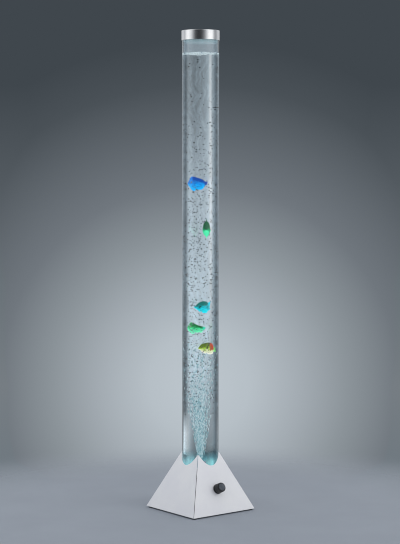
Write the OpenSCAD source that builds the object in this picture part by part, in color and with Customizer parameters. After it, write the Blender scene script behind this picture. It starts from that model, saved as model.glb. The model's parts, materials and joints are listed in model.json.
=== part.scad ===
// Bubble tube floor lamp: a water-filled acrylic tube with a metal cap on a folded pyramid base.
// The base holds the air pump, the light ring, the control board and the dimmer.
// Millimetres, +Z up, origin on the floor under the tube's axis.
// The dimmer is on the -Y face of the base, the power inlet on the +Y face.

/* [Overall] */
// Height of the whole lamp, from the floor to the top of the cap
lamp_h = 1200; // [1000:10:1500]

/* [Base shell] */
// Width of the square base along its bottom edge
base_w = 196; // [190:1:230]
// Height from the bottom edge of the base to the point where its four faces would meet
shell_rise = 217; // [205:1:230]
// Thickness of the folded sheet
sheet_t = 1.5; // [1:0.1:2]
// Width of the flange turned in along the bottom edge
flange_w = 14; // [12:0.5:18]
// Gap in each of the two seams between the shell halves
seam_gap = 1.2; // [0.4:0.1:1.5]
// Gap round the tube where it leaves the shell
tube_play = 0.6; // [0.3:0.05:0.8]
// Width of the strip that backs a seam, across both faces
strip_w = 20; // [14:1:26]
// Thickness of the strip that backs a seam
strip_t = 1.2; // [0.8:0.1:1.5]

/* [Base plate and feet] */
// Thickness of the base plate
plate_t = 2.5; // [1.5:0.5:4]
// Gap between the base plate's edge and the shell
plate_gap = 0.5; // [0.3:0.1:1]
// Height of the rubber feet
foot_h = 3; // [2:0.5:5]
// Radius of a rubber foot
foot_r = 8; // [6:0.5:10]
// Distance from the base's edge to a foot's centre
foot_in = 11; // [10.5:0.5:16]
// Nominal radius of the screws through flange and plate
screw_r = 1.5; // [1:0.25:2]
// Distance of a screw from the middle of its side
screw_at = 60; // [50:1:64]
// Width of an air slot in the base plate
vent_w = 4; // [3:0.5:6]
// Length of an air slot in the base plate
vent_l = 36; // [20:1:44]

/* [Tube] */
// Outer diameter of the tube
tube_d = 92; // [88:0.5:94]
// Wall of the tube
tube_wall = 3; // [2:0.25:4]
// Thickness of the disc that closes the tube's lower end
floor_t = 6; // [4:0.5:8]
// Glue gap between the disc and the tube
glue_gap = 0.05; // [0.02:0.01:0.1]

/* [Tube seat] */
// Wall of the socket round the tube's lower end
socket_wall = 2; // [1.5:0.25:2.5]
// Gap between socket and tube
socket_gap = 0.3; // [0.2:0.05:0.4]
// Gap between the socket's top edge and the shell
socket_play = 0.4; // [0.3:0.1:0.8]
// How far the tube's seat lies below the socket's top edge
socket_depth = 10; // [8:0.5:12]
// Thickness of the gasket under the tube
gasket_t = 2; // [1.8:0.1:3]
// Thickness of the deck that carries the tube
deck_t = 3; // [2:0.5:4]
// Gap between the deck's edge and the shell
deck_gap = 1.5; // [1.4:0.1:3]
// Radius of a post under the deck
post_r = 4; // [3:0.5:5]
// Distance from the deck's edge to a post's centre
post_in = 10; // [9:0.5:10.5]

/* [Cap and lid] */
// Height of the cap
cap_h = 24; // [18:0.5:32]
// Wall of the cap's skirt
cap_wall = 1.1; // [0.8:0.1:2]
// Thickness of the cap's top
cap_top_t = 2; // [1:0.25:3]
// Gap between the cap's skirt and the tube
cap_gap = 0.4; // [0.3:0.05:0.8]
// Thickness of the lid's flange, which lies on the tube's end
lid_flange_t = 2; // [1.5:0.25:3]
// Gap between the lid's flange and the tube's end
lid_rest_gap = 0.05; // [0.03:0.01:0.2]
// How far the lid reaches down into the tube
lid_depth = 27; // [22:0.5:34]
// Gap between the lid and the tube's bore
lid_gap = 0.4; // [0.3:0.05:0.6]
// Wall of the lid's cup
lid_wall = 5; // [4.5:0.25:7]
// Thickness of the lid's closed lower end
lid_end_t = 3; // [2:0.5:5]
// Radius of the air vent through the lid
lid_vent_r = 2.5; // [1.5:0.25:4]
// Thickness radius of the lid's sealing ring
seal_r = 1.4; // [1:0.1:1.6]
// Gap between the sealing ring and the tube's bore
seal_gap = 0.08; // [0.05:0.01:0.1]
// Distance from the tube's end down to the sealing ring
seal_down = 8; // [5:0.5:14]

/* [Light] */
// Gap between the light board and the deck
led_gap = 6; // [4:0.5:8]
// Thickness of both circuit boards
pcb_t = 1.6; // [1:0.1:2]
// Edge length of a light emitter
led_w = 5; // [3:0.5:6]
// Height of a light emitter
led_h = 1.6; // [1:0.1:2]
// Number of light emitters
led_n = 12; // [6:1:16]
// Radius of the ring of light emitters
led_ring_r = 26; // [18:0.5:33]
// Radius of a spacer between light board and deck
spacer_r = 3; // [2:0.25:3.5]
// Thickness of the diffuser under the tube
diffuser_t = 1.5; // [1:0.1:1.7]

/* [Air inlet] */
// Radius of the inlet's threaded stem
stem_r = 4; // [3.5:0.25:5]
// Radius of the air passage in stem and nipples
air_r = 1.5; // [1:0.1:1.6]
// Gap between a passage's wall or hole and what passes through it
pass_gap = 0.1; // [0.05:0.05:0.2]
// Radius of the inlet's collar inside the tube
collar_r = 8; // [7:0.5:10]
// Height of the inlet's collar
collar_h = 2.5; // [2:0.25:4]
// Thickness of the washer under the collar
washer_t = 1.2; // [0.8:0.1:2]
// Height of the nut under the tube's floor
nut_h = 5; // [3:0.5:6]
// Radius over the corners of that nut
nut_r = 7.5; // [7:0.25:9]
// Distance from the light board down to the elbow's air passage
elbow_drop = 14; // [11:0.5:16]
// Radius of the air stone
stone_r = 11; // [8:0.5:16]
// Height of the air stone
stone_h = 14; // [8:0.5:20]

/* [Air pump] */
// Gap between the lamp's axis and the pump's case
pump_at = 14; // [13:0.5:15]
// Length of the pump's case, away from the axis
pump_l = 56; // [54:0.5:57]
// Width of the pump's case
pump_w = 60; // [58:0.5:66]
// Height of the pump's case
pump_h = 30; // [29:0.5:33]
// Wall of the pump's case
pump_wall = 2; // [1.5:0.25:2.2]
// Thickness of the pump's cover
cover_t = 3; // [2:0.25:4]
// Height of the pump's rubber feet
pump_foot_h = 4; // [3:0.5:6]
// Radius of the pump's rubber feet
pump_foot_r = 5; // [3.5:0.5:6]
// Height of the air line above the pump's own bottom
outlet_up = 11; // [9:0.5:13]
// Width of the pump's arm
arm_w = 12; // [8:0.5:14]
// Thickness of the pump's arm
arm_t = 3; // [2:0.25:3.5]
// Gap between the arm's free end and the pump's case
arm_end_gap = 6; // [5:0.5:8]
// Radius of the arm's pin
pin_r = 2; // [1.5:0.1:2.5]
// Running gap between the pin and the arm's eye
pin_gap = 0.05; // [0.02:0.01:0.1]

/* [Hoses and leads] */
// Radius of the nipples that the hoses are pushed on
nipple_r = 2.2; // [2:0.05:2.3]
// Outer radius of the air hose
hose_r = 3.4; // [3.3:0.1:4]
// Radius of the air hose's bore, measured to its corners
hose_bore_r = 2.6; // [2.5:0.05:2.7]
// Radius of the bends in the air hose
hose_bend_r = 17; // [14:0.5:18]
// Radius of the inner leads
lead_r = 1.3; // [0.8:0.1:1.6]
// Gap between a lead's end and the piece that it joins
lead_gap = 0.02; // [0.01:0.01:0.05]

/* [Dimmer] */
// Height at which the dimmer's axis crosses the front face
knob_up = 61; // [56:0.5:66]
// Place of the dimmer along the front face, from the middle
knob_side = -3; // [-8:0.5:8]
// Radius of the knob's skirt
knob_r = 12.5; // [10.5:0.25:15]
// Length of the knob
knob_l = 20; // [16:0.5:26]
// Gap between the knob and the face
knob_gap = 0.8; // [0.5:0.1:1.5]
// Number of grip grooves round the knob
groove_n = 20; // [12:1:28]
// Radius of the dimmer's shaft
shaft_r = 3; // [2.5:0.25:3.25]
// Running gap between the shaft and its bush
shaft_gap = 0.05; // [0.02:0.01:0.1]
// Radius of the dimmer's threaded bush
bush_r = 4; // [3.75:0.25:4.5]
// Gap between a bush and its hole in the shell
bush_gap = 0.2; // [0.1:0.05:0.3]
// Radius of the dimmer's case
pot_r = 8.5; // [7:0.25:10]
// Depth of the dimmer's case
pot_l = 10; // [9:0.5:12]

/* [Power inlet] */
// Distance of the power inlet from the middle of the rear face
jack_at = 45; // [40:1:46]
// Height at which the inlet's axis crosses the rear face
jack_up = 30; // [26:0.5:34]
// Radius of the inlet's threaded barrel
jack_r = 4; // [3.75:0.25:5]
// Radius of the inlet's opening
jack_bore_r = 2.85; // [2.8:0.05:3.1]
// Radius of the inlet's centre pin
jack_pin_r = 1.05; // [0.8:0.05:1.25]

/* [Control board] */
// Length of the control board
board_l = 68; // [64:1:70]
// Width of the control board
board_w = 30; // [24:1:32]
// Distance from the lamp's axis to the board's near edge
board_at = 48; // [46:0.5:49]
// Height of the board's standoffs
standoff_h = 4; // [3:0.5:6]

/* [Fish] */
// Height of the blue fish above the floor
blue_up = 821; // [800:1:840]
// Height of the green fish above the floor
green_up = 707; // [690:1:720]
// Height of the cyan fish above the floor
cyan_up = 513; // [490:1:530]
// Height of the mint fish above the floor
mint_up = 459; // [440:1:470]
// Height of the gold fish above the floor
gold_up = 410; // [390:1:420]
// Level way in which the fish look, as an angle from the X axis
swim_turn = -38.3; // [-50:0.1:-30]

/* [Hidden] */
$fn = 64;

// A face of the pyramid looks up by this angle, and the sheet measures this much level.
lean = atan(base_w / 2 / shell_rise);
sheet_x = sheet_t / cos(lean);
function outer_half(z) = base_w / 2 * (1 - (z - foot_h) / shell_rise);
function inner_half(z) = outer_half(z) - sheet_x;
function level_of(half) = foot_h + shell_rise * (1 - (half + sheet_x) / (base_w / 2));

// Levels of the tube and of what carries it, from the socket down
tube_r = tube_d / 2;
bore_r = tube_r - tube_wall;
socket_r = tube_r + socket_gap + socket_wall;
socket_top = level_of(socket_r + socket_play);
deck_top = socket_top - socket_depth;
deck_z = deck_top - deck_t;
deck_half = inner_half(deck_top) - deck_gap;
deck_hole_r = bore_r - 4.5;
post_at = deck_half - post_in;
tube_z = deck_top + gasket_t;
floor_top = tube_z + floor_t;
board_top = deck_z - led_gap;
led_board_z = board_top - pcb_t;
led_board_r = tube_r + 1;
spacer_at = led_board_r - spacer_r - 0.5;

// Levels of the lid, from the top down
lid_top = lamp_h - cap_top_t;
tube_top = lid_top - lid_flange_t - lid_rest_gap;
cap_r = tube_r + cap_gap + cap_wall;
lid_r = bore_r - lid_gap;
seal_ring_r = bore_r - seal_gap - seal_r;
seal_z = tube_top - seal_down;

// Levels of the base plate and of what stands on it
flange_top = foot_h + sheet_t;
plate_top = flange_top + plate_t;
plate_half = inner_half(plate_top) - plate_gap;
pump_z = plate_top + pump_foot_h;
pump_top = pump_z + pump_h;
air_z = pump_z + outlet_up;
elbow_z = led_board_z - elbow_drop;
board_z = plate_top + standoff_h;

// The pump's inside, along X from its inner wall
pump_x0 = pump_at + pump_wall;
valve_l = 12;
diaphragm_l = 8;
arm_x = pump_x0 + valve_l + diaphragm_l;
arm_z = pump_z + 10;
pin_y = -pump_w / 2 + pump_wall + 4;
arm_l = pump_w / 2 - pump_wall - arm_end_gap - pin_y;
magnet_t = 6;
core_x = arm_x + arm_t + magnet_t + 4;
core_l = pump_at + pump_l - pump_wall - core_x - 0.5;
core_y = pin_y + arm_l - 8;

// The check valve lies in the air line, nipple to nipple
nipple_l = 8;
valve_body_l = 16;
check_r = 6.5;
hose_butt = 1;
check_x = pump_at - 2 * nipple_l - 2 - valve_body_l / 2;
elbow_out = 2 * stem_r;

// Knob and inlet profiles, along the axis that stands square on the face
knob_recess_r = 7.6;
knob_recess_l = 5;
waist = 1.1;
pointer_w = 1.6;
insert_r = knob_r - 3.5;
insert_t = 0.8;
washer_r = 6.2;
ring_nut_r = 6;
jack_l = 14;
jack_case_r = 5.5;
connector_w = 8;
connector_d = 6;
connector_h = 7;
connector_y = -board_at - connector_d;
connector_top = board_z + pcb_t + connector_h;
function connector_x(i) = (i - 1.5) * 16;

// Points on the tilted faces: s is -1 on the front face and 1 on the rear face.
function face_point(s, x, up, out) = [x, s * (outer_half(up) + out * cos(lean)), up + out * sin(lean)];

module on_face(s, x, up) {
    translate([x, s * outer_half(up), up])
        rotate([-s * (90 - lean), 0, 0])
            children();
}

// A ring that stands on z, with an exact bore
module ring(outer, inner, h) {
    difference() {
        cylinder(r = outer, h = h);
        translate([0, 0, -1])
            cylinder(r = inner, h = h + 2);
    }
}

// A bar along X with its middle at the origin
module x_rod(r, x0, x1) {
    translate([x0, 0, 0])
        rotate([0, 90, 0])
            cylinder(r = r, h = x1 - x0);
}

// Solid pyramid: its sides are the shell's faces moved inwards, level, by inset
module pyramid(inset) {
    half = base_w / 2 - inset;
    rise = shell_rise * half / (base_w / 2);
    intersection() {
        roof(half, rise);
        rotate([0, 0, 90])
            roof(half, rise);
    }
}

module roof(half, rise) {
    translate([0, base_w, foot_h])
        rotate([90, 0, 0])
            linear_extrude(height = 2 * base_w)
                polygon([[-half, 0], [half, 0], [0, rise]]);
}

// Half space on one side of the seam plane x = y: side is -1 for the right shell, 1 for the left
module seam_side(side) {
    rotate([0, 0, 45])
        translate([-2 * base_w, side > 0 ? seam_gap / 2 : -2 * base_w - seam_gap / 2, -1])
            cube([4 * base_w, 2 * base_w, 3 * base_w]);
}

module each_screw() {
    for (turn = [0 : 90 : 270], at = [-screw_at, screw_at])
        rotate([0, 0, turn])
            translate([at, base_w / 2 - flange_w / 2, 0])
                children();
}

module each_corner(at) {
    for (sx = [-1, 1], sy = [-1, 1])
        translate([sx * at, sy * at, 0])
            children();
}

module whole_shell() {
    difference() {
        pyramid(0);
        intersection() {
            pyramid(sheet_x);
            translate([-base_w, -base_w, flange_top])
                cube([2 * base_w, 2 * base_w, 2 * shell_rise]);
        }
        translate([flange_w - base_w / 2, flange_w - base_w / 2, 0])
            cube([base_w - 2 * flange_w, base_w - 2 * flange_w, flange_top + 1]);
        cylinder(r = tube_r + tube_play, h = 2 * shell_rise);
        on_face(-1, knob_side, knob_up)
            translate([0, 0, -3 * sheet_t])
                cylinder(r = bush_r + bush_gap, h = 6 * sheet_t);
        on_face(1, -jack_at, jack_up)
            translate([0, 0, -3 * sheet_t])
                cylinder(r = jack_r + bush_gap, h = 6 * sheet_t);
        each_screw()
            cylinder(r = screw_r + pass_gap, h = plate_top);
    }
}

module shell_right() {
    color("gainsboro")
        intersection() {
            whole_shell();
            seam_side(-1);
        }
}

module shell_left() {
    color("silver")
        intersection() {
            whole_shell();
            seam_side(1);
        }
}

// A bent strip inside the ridge, turn 0 at the front seam and 180 at the rear one
module seam_strip(turn) {
    strip_z = plate_top + 5;
    strip_h = deck_z - 3 - strip_z;
    color("black")
        rotate([0, 0, turn])
            intersection() {
                difference() {
                    pyramid(sheet_x);
                    pyramid(sheet_x + strip_t / cos(lean));
                }
                rotate([0, 0, 225])
                    translate([0, -strip_w / 2, strip_z])
                        cube([base_w, strip_w, strip_h]);
            }
}

module front_seam_strip() seam_strip(0);

module rear_seam_strip() seam_strip(180);

module base_plate() {
    color("dimgray")
        difference() {
            translate([-plate_half, -plate_half, flange_top])
                cube([2 * plate_half, 2 * plate_half, plate_t]);
            each_screw()
                cylinder(r = screw_r + pass_gap, h = plate_top + 1);
            for (i = [-2 : 2])
                translate([-base_w / 5 - vent_l / 2, (2 * i - 0.5) * vent_w, flange_top - 1])
                    cube([vent_l, vent_w, plate_t + 2]);
        }
}

module base_screws() {
    head_h = foot_h * 0.55;
    color("lightgray")
        each_screw() {
            translate([0, 0, foot_h - head_h])
                cylinder(r = 1.8 * screw_r, h = head_h);
            translate([0, 0, foot_h - head_h])
                cylinder(r = screw_r, h = plate_top - foot_h + head_h);
        }
}

module rubber_feet() {
    color("black")
        each_corner(base_w / 2 - foot_in)
            cylinder(r1 = foot_r - 0.8, r2 = foot_r, h = foot_h);
}

module deck_posts() {
    color("silver")
        each_corner(post_at)
            translate([0, 0, plate_top])
                cylinder(r = post_r, h = deck_z - plate_top);
}

module tube_deck() {
    color("dimgray")
        difference() {
            translate([-deck_half, -deck_half, deck_z])
                cube([2 * deck_half, 2 * deck_half, deck_t]);
            cylinder(r = deck_hole_r, h = deck_top + 1);
        }
}

module tube_socket() {
    color("dimgray")
        translate([0, 0, deck_top])
            ring(socket_r, tube_r + socket_gap, socket_depth);
}

module tube_gasket() {
    color("black")
        translate([0, 0, deck_top])
            ring(tube_r, bore_r - 1, gasket_t);
}

module tube() {
    color("lightcyan", 0.35)
        translate([0, 0, tube_z])
            ring(tube_r, bore_r, tube_top - tube_z);
}

module tube_floor() {
    color("paleturquoise")
        translate([0, 0, tube_z])
            ring(bore_r - glue_gap, stem_r + pass_gap, floor_t);
}

module light_diffuser() {
    color("white")
        translate([0, 0, deck_top])
            ring(bore_r - 1.5, nut_r + 2, diffuser_t);
}

module led_board() {
    color("seagreen")
        translate([0, 0, led_board_z])
            ring(led_board_r, stem_r + 3, pcb_t);
}

module led_emitters() {
    color("white")
        for (i = [0 : led_n - 1])
            rotate([0, 0, 360 * i / led_n])
                translate([led_ring_r - led_w / 2, -led_w / 2, board_top])
                    cube([led_w, led_w, led_h]);
}

module led_spacers() {
    color("white")
        for (turn = [0 : 90 : 270])
            rotate([0, 0, turn])
                translate([spacer_at, 0, board_top])
                    cylinder(r = spacer_r, h = led_gap);
}

module air_stone() {
    stone_z = floor_top + washer_t + collar_h;
    stone_round = 2;
    color("lightsteelblue")
        union() {
            translate([0, 0, stone_z])
                rotate_extrude()
                    polygon([[0, 0], [stone_r - stone_round, 0], [stone_r, stone_round],
                        [stone_r, stone_h - stone_round], [stone_r - stone_round, stone_h], [0, stone_h]]);
            translate([0, 0, stone_z - 2 * collar_h])
                cylinder(r = air_r - pass_gap, h = 2 * collar_h + 1);
        }
}

module inlet_elbow() {
    color("whitesmoke")
        difference() {
            union() {
                translate([0, 0, floor_top + washer_t])
                    cylinder(r = collar_r, h = collar_h);
                translate([0, 0, elbow_z])
                    cylinder(r = stem_r, h = floor_top + washer_t + collar_h - elbow_z);
                translate([0, 0, elbow_z]) {
                    sphere(r = stem_r);
                    x_rod(stem_r, -elbow_out, 0);
                    x_rod(nipple_r, -elbow_out - nipple_l, 0);
                }
            }
            translate([0, 0, elbow_z]) {
                cylinder(r = air_r, h = lamp_h);
                x_rod(air_r, -elbow_out - nipple_l - 1, 0);
            }
        }
}

module inlet_washer() {
    color("black")
        translate([0, 0, floor_top])
            ring(collar_r, stem_r + pass_gap, washer_t);
}

module inlet_nut() {
    color("whitesmoke")
        translate([0, 0, tube_z - nut_h])
            difference() {
                cylinder(r = nut_r, h = nut_h, $fn = 6);
                translate([0, 0, -1])
                    cylinder(r = stem_r + pass_gap, h = nut_h + 2);
            }
}

module cap_shell() {
    edge = 0.8;
    low = lamp_h - cap_h;
    inner = cap_r - cap_wall;
    color("gainsboro")
        rotate_extrude()
            polygon([[inner, low], [cap_r, low], [cap_r, lamp_h - edge], [cap_r - edge, lamp_h],
                [0, lamp_h], [0, lamp_h - cap_top_t], [inner, lamp_h - cap_top_t]]);
}

module lid_plug() {
    low = tube_top - lid_depth;
    groove_h = 2 * seal_r + 0.4;
    color("powderblue")
        difference() {
            union() {
                translate([0, 0, low])
                    cylinder(r = lid_r, h = lid_top - low);
                translate([0, 0, lid_top - lid_flange_t])
                    cylinder(r = tube_r, h = lid_flange_t);
            }
            translate([0, 0, low + lid_end_t])
                cylinder(r = lid_r - lid_wall, h = lid_top - low);
            translate([0, 0, low - 1])
                cylinder(r = lid_vent_r, h = lid_depth);
            translate([0, 0, seal_z - groove_h / 2])
                ring(lid_r + 1, seal_ring_r - seal_r - glue_gap, groove_h);
        }
}

module lid_seal() {
    color("white")
        translate([0, 0, seal_z])
            rotate_extrude()
                translate([seal_ring_r, 0])
                    circle(r = seal_r);
}

module pump_case() {
    color("ivory")
        difference() {
            translate([pump_at, -pump_w / 2, pump_z])
                cube([pump_l, pump_w, pump_h]);
            translate([pump_at + pump_wall, -pump_w / 2 + pump_wall, pump_z + pump_wall])
                cube([pump_l - 2 * pump_wall, pump_w - 2 * pump_wall, pump_h]);
            translate([0, 0, air_z])
                x_rod(nipple_r + pass_gap, pump_at - 1, pump_at + pump_wall + 1);
        }
}

module pump_cover() {
    slot_n = 5;
    color("ivory")
        difference() {
            translate([pump_at, -pump_w / 2, pump_top])
                cube([pump_l, pump_w, cover_t]);
            for (i = [0 : slot_n - 1])
                translate([pump_at + 12 + i * 7, -pump_w / 4, pump_top - 1])
                    cube([3, pump_w / 2, cover_t + 2]);
        }
}

module pump_feet() {
    foot_x = pump_l / 2 - 8;
    foot_y = pump_w / 2 - 8;
    color("black")
        translate([pump_at + pump_l / 2, 0, plate_top])
            for (sx = [-1, 1], sy = [-1, 1])
                translate([sx * foot_x, sy * foot_y, 0])
                    cylinder(r = pump_foot_r, h = pump_foot_h);
}

module valve_block() {
    block_w = 24;
    color("darkslategray")
        difference() {
            union() {
                translate([pump_x0, -block_w / 2, pump_z + pump_wall])
                    cube([valve_l, block_w, pump_h - pump_wall - 2]);
                translate([0, 0, air_z])
                    x_rod(nipple_r, pump_at - nipple_l, pump_x0 + 1);
            }
            translate([0, 0, air_z])
                x_rod(air_r, pump_at - nipple_l - 1, pump_x0 + valve_l / 2);
        }
}

module pump_diaphragm() {
    color("black")
        translate([0, 0, arm_z + arm_w / 2])
            x_rod(arm_w / 2 + 1, pump_x0 + valve_l, arm_x);
}

// The arm swings on its pin, and its magnet faces the poles of the core.
module pump_arm() {
    color("goldenrod")
        difference() {
            union() {
                translate([arm_x, pin_y, arm_z])
                    cube([arm_t, arm_l, arm_w]);
                translate([arm_x + arm_t / 2, pin_y, arm_z])
                    cylinder(r = pin_r + 1.6, h = arm_w);
            }
            translate([arm_x + arm_t / 2, pin_y, arm_z - 1])
                cylinder(r = pin_r + pin_gap, h = arm_w + 2);
        }
}

module arm_magnet() {
    magnet_l = 12;
    color("dimgray")
        translate([arm_x + arm_t, pin_y + arm_l - magnet_l - 2, arm_z + 1])
            cube([magnet_t, magnet_l, arm_w - 2]);
}

module arm_pin() {
    color("silver")
        translate([arm_x + arm_t / 2, pin_y, pump_z + pump_wall])
            cylinder(r = pin_r, h = pump_h - pump_wall);
}

// Core of stacked sheet with two poles, and the winding round the upper pole
module coil_core() {
    yoke = 5;
    color("slategray")
        translate([core_x, core_y - 6, pump_z + pump_wall])
            difference() {
                cube([core_l, 12, pump_h - pump_wall - 1]);
                translate([-1, -1, yoke])
                    cube([core_l - yoke + 1, 14, pump_h - pump_wall - 1 - 3 * yoke]);
                translate([-1, -1, pump_h - pump_wall - 1 - yoke])
                    cube([core_l - yoke + 1, 14, yoke + 1]);
            }
}

module pump_coil() {
    yoke = 5;
    coil_l = core_l - yoke - 2;
    pole_z = pump_z + pump_h - 1 - 2 * yoke;
    coil_t = 3;
    color("peru")
        difference() {
            translate([core_x + 1, core_y - 6 - coil_t, pole_z - coil_t])
                cube([coil_l, 12 + 2 * coil_t, yoke + 2 * coil_t]);
            translate([core_x, core_y - 6 - pass_gap, pole_z - pass_gap])
                cube([coil_l + 2, 12 + 2 * pass_gap, yoke + 2 * pass_gap]);
        }
}

module check_valve() {
    color("lightblue")
        translate([0, 0, air_z])
            difference() {
                union() {
                    x_rod(check_r, check_x - valve_body_l / 2, check_x + valve_body_l / 2);
                    x_rod(nipple_r, check_x - valve_body_l / 2 - nipple_l, check_x + valve_body_l / 2 + nipple_l);
                }
                x_rod(air_r, check_x - valve_body_l / 2 - nipple_l - 1, check_x - 1);
                x_rod(air_r, check_x + 1, check_x + valve_body_l / 2 + nipple_l + 1);
            }
}

module pump_hose() {
    color("white")
        translate([0, 0, air_z])
            difference() {
                x_rod(hose_r, check_x + valve_body_l / 2 + hose_butt, pump_at - hose_butt);
                x_rod(hose_bore_r, check_x + valve_body_l / 2, pump_at);
            }
}

// Swept tubes: frames along a path of points, and rings of points square to it
function unit(v) = v / norm(v);
function heading(path, i) = unit(path[min(i + 1, len(path) - 1)] - path[max(i - 1, 0)]);
function side_of(d, up) = unit(cross(up, d));
function ring_points(c, d, up, r, n) = [for (k = [0 : n - 1])
    c + r * (cos(360 * k / n) * side_of(d, up) + sin(360 * k / n) * cross(d, side_of(d, up)))];
function sweep_points(path, up, r, n) = [for (i = [0 : len(path) - 1])
    each ring_points(path[i], heading(path, i), up, r, n)];
function quad(a, b, c, d) = [[a, b, c], [a, c, d]];
function skin(first, rings, n, turn) = [for (i = [0 : rings - 2], k = [0 : n - 1])
    each quad(first + i * n + k, first + i * n + (turn > 0 ? (k + 1) % n : (k + n - 1) % n),
        first + (i + 1) * n + (turn > 0 ? (k + 1) % n : (k + n - 1) % n), first + (i + 1) * n + k)];
function fan(first, n, turn) = [for (k = [1 : n - 2])
    turn > 0 ? [first, first + k + 1, first + k] : [first, first + k, first + k + 1]];

// A lead: a closed tube along the path, whose rings keep clear of the direction up
module solid_tube(path, up, r, n) {
    rings = len(path);
    polyhedron(points = sweep_points(path, up, r, n),
        faces = concat(skin(0, rings, n, -1), fan(0, n, -1), fan((rings - 1) * n, n, 1)));
}

// A hose: the same with a bore, closed by a flat rim at each end
module hollow_tube(path, up, r, bore, n) {
    rings = len(path);
    inner = rings * n;
    last = (rings - 1) * n;
    polyhedron(points = concat(sweep_points(path, up, r, n), sweep_points(path, up, bore, n)),
        faces = concat(skin(0, rings, n, -1), skin(inner, rings, n, 1),
            [for (k = [0 : n - 1]) each quad(k, (k + 1) % n, inner + (k + 1) % n, inner + k)],
            [for (k = [0 : n - 1]) each quad(last + (k + 1) % n, last + k,
                inner + last + k, inner + last + (k + 1) % n)]));
}

// A smooth curve through hand-chosen points, with steps pieces between two of them
function bend(a, b, c, d, t) = 0.5 * ((2 * b) + (c - a) * t + (2 * a - 5 * b + 4 * c - d) * t * t
    + (3 * b - a - 3 * c + d) * t * t * t);
function smooth(p, steps) = concat([for (i = [0 : len(p) - 2], s = [0 : steps - 1])
    bend(p[max(i - 1, 0)], p[i], p[i + 1], p[min(i + 2, len(p) - 1)], s / steps)], [p[len(p) - 1]]);

// The air hose leaves the check valve level, turns up and back, and meets the elbow level.
hose_x = check_x - valve_body_l / 2 - nipple_l;
hose_arc = 8;
hose_path = concat(
    [[check_x - valve_body_l / 2 - hose_butt, 0, air_z]],
    [for (i = [0 : hose_arc]) [hose_x - hose_bend_r * sin(90 * i / hose_arc), 0,
        air_z + hose_bend_r * (1 - cos(90 * i / hose_arc))]],
    [for (i = [0 : hose_arc]) [hose_x - hose_bend_r * cos(90 * i / hose_arc), 0,
        elbow_z - hose_bend_r * (1 - sin(90 * i / hose_arc))]],
    [[-elbow_out - hose_butt, 0, elbow_z]]);

module air_hose() {
    color("white")
        hollow_tube(hose_path, [0, 1, 0], hose_r, hose_bore_r, 12);
}

// Routes of the leads: each leaves the pieces that it joins square to their faces.
lead_rise = 6;
lead_stub = 1;
pot_back = face_point(-1, knob_side, knob_up, -sheet_t - pot_l);
pot_away = face_point(-1, knob_side, knob_up, -sheet_t - pot_l - lead_rise);
jack_back = face_point(1, -jack_at, jack_up, -sheet_t - jack_l);
jack_away = face_point(1, -jack_at, jack_up, -sheet_t - jack_l - lead_rise);
function over_connector(i, h) = [connector_x(i), connector_y, connector_top + h];
power_route = [jack_back, jack_away, [-57, 40, 18], [-62, 0, 14], [-59, -38, 18], [-46, -58, 28],
    over_connector(0, 11), over_connector(0, 0)];
dimmer_route = [pot_back, pot_away, [-6, -50, 36], over_connector(1, 7), over_connector(1, 0)];
light_route = [over_connector(2, 0), over_connector(2, 9), [12, -42, 44], [14, -32, 64],
    [14, -30, led_board_z - 6], [14, -30, led_board_z]];
pump_route = [over_connector(3, 0), over_connector(3, 8), [32, -47, 30], [34, -39, 26],
    [34, -pump_w / 2 - 5, pump_z + 12], [34, -pump_w / 2, pump_z + 12]];

function along(a, b, length) = a + length * unit(b - a);
function with_stubs(p, n) = concat([along(p[0], p[1], lead_gap)],
    smooth(concat([along(p[0], p[1], lead_stub)], [for (i = [1 : n - 1]) p[i]],
        [along(p[n], p[n - 1], lead_stub)]), 3),
    [along(p[n], p[n - 1], lead_gap)]);

module lead(route, up, shade) {
    color(shade)
        solid_tube(with_stubs(route, len(route) - 1), up, lead_r, 8);
}

module power_lead() lead(power_route, [1, 0, 0], "black");

module dimmer_lead() lead(dimmer_route, [1, 0, 0], "gray");

module light_lead() lead(light_route, [1, 0, 0], "white");

module pump_lead() lead(pump_route, [1, 0, 0], "gray");

module dimmer_knob() {
    recess_top = knob_gap + knob_recess_l;
    knob_top = knob_gap + knob_l;
    color("black")
        on_face(-1, knob_side, knob_up)
            difference() {
                rotate_extrude()
                    polygon([[0, knob_gap], [knob_r - 0.6, knob_gap], [knob_r, knob_gap + 0.6],
                        [knob_r, knob_gap + 3], [knob_r - waist, knob_gap + 4.2], [knob_r - waist, knob_gap + 6],
                        [knob_r - 0.4, knob_gap + 7.2], [knob_r - 0.7, knob_top - 1.2],
                        [knob_r - 1.9, knob_top], [0, knob_top]]);
                translate([0, 0, knob_gap - 1])
                    cylinder(r = knob_recess_r, h = knob_recess_l + 1);
                translate([0, 0, recess_top - 1])
                    cylinder(r = shaft_r, h = knob_l - knob_recess_l - 3);
                translate([0, 0, knob_top - insert_t])
                    cylinder(r = insert_r, h = insert_t + 1);
                for (i = [0 : groove_n - 1])
                    rotate([0, 0, 360 * i / groove_n])
                        translate([knob_r + 0.2, 0, knob_gap + 7.2])
                            cylinder(r = 1.1, h = knob_l, $fn = 16);
            }
}

// The grey end of the knob has a notch that points at the setting.
module knob_insert() {
    color("slategray")
        on_face(-1, knob_side, knob_up)
            translate([0, 0, knob_gap + knob_l - insert_t])
                difference() {
                    cylinder(r = insert_r - pass_gap, h = insert_t + 0.4);
                    translate([-pointer_w / 2, insert_r / 3, insert_t])
                        cube([pointer_w, insert_r, 1]);
                }
}

module knob_shaft() {
    low = -sheet_t - pot_l / 2;
    high = knob_gap + knob_l - 4;
    color("silver")
        on_face(-1, knob_side, knob_up)
            translate([0, 0, low])
                cylinder(r = shaft_r, h = high - low);
}

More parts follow.
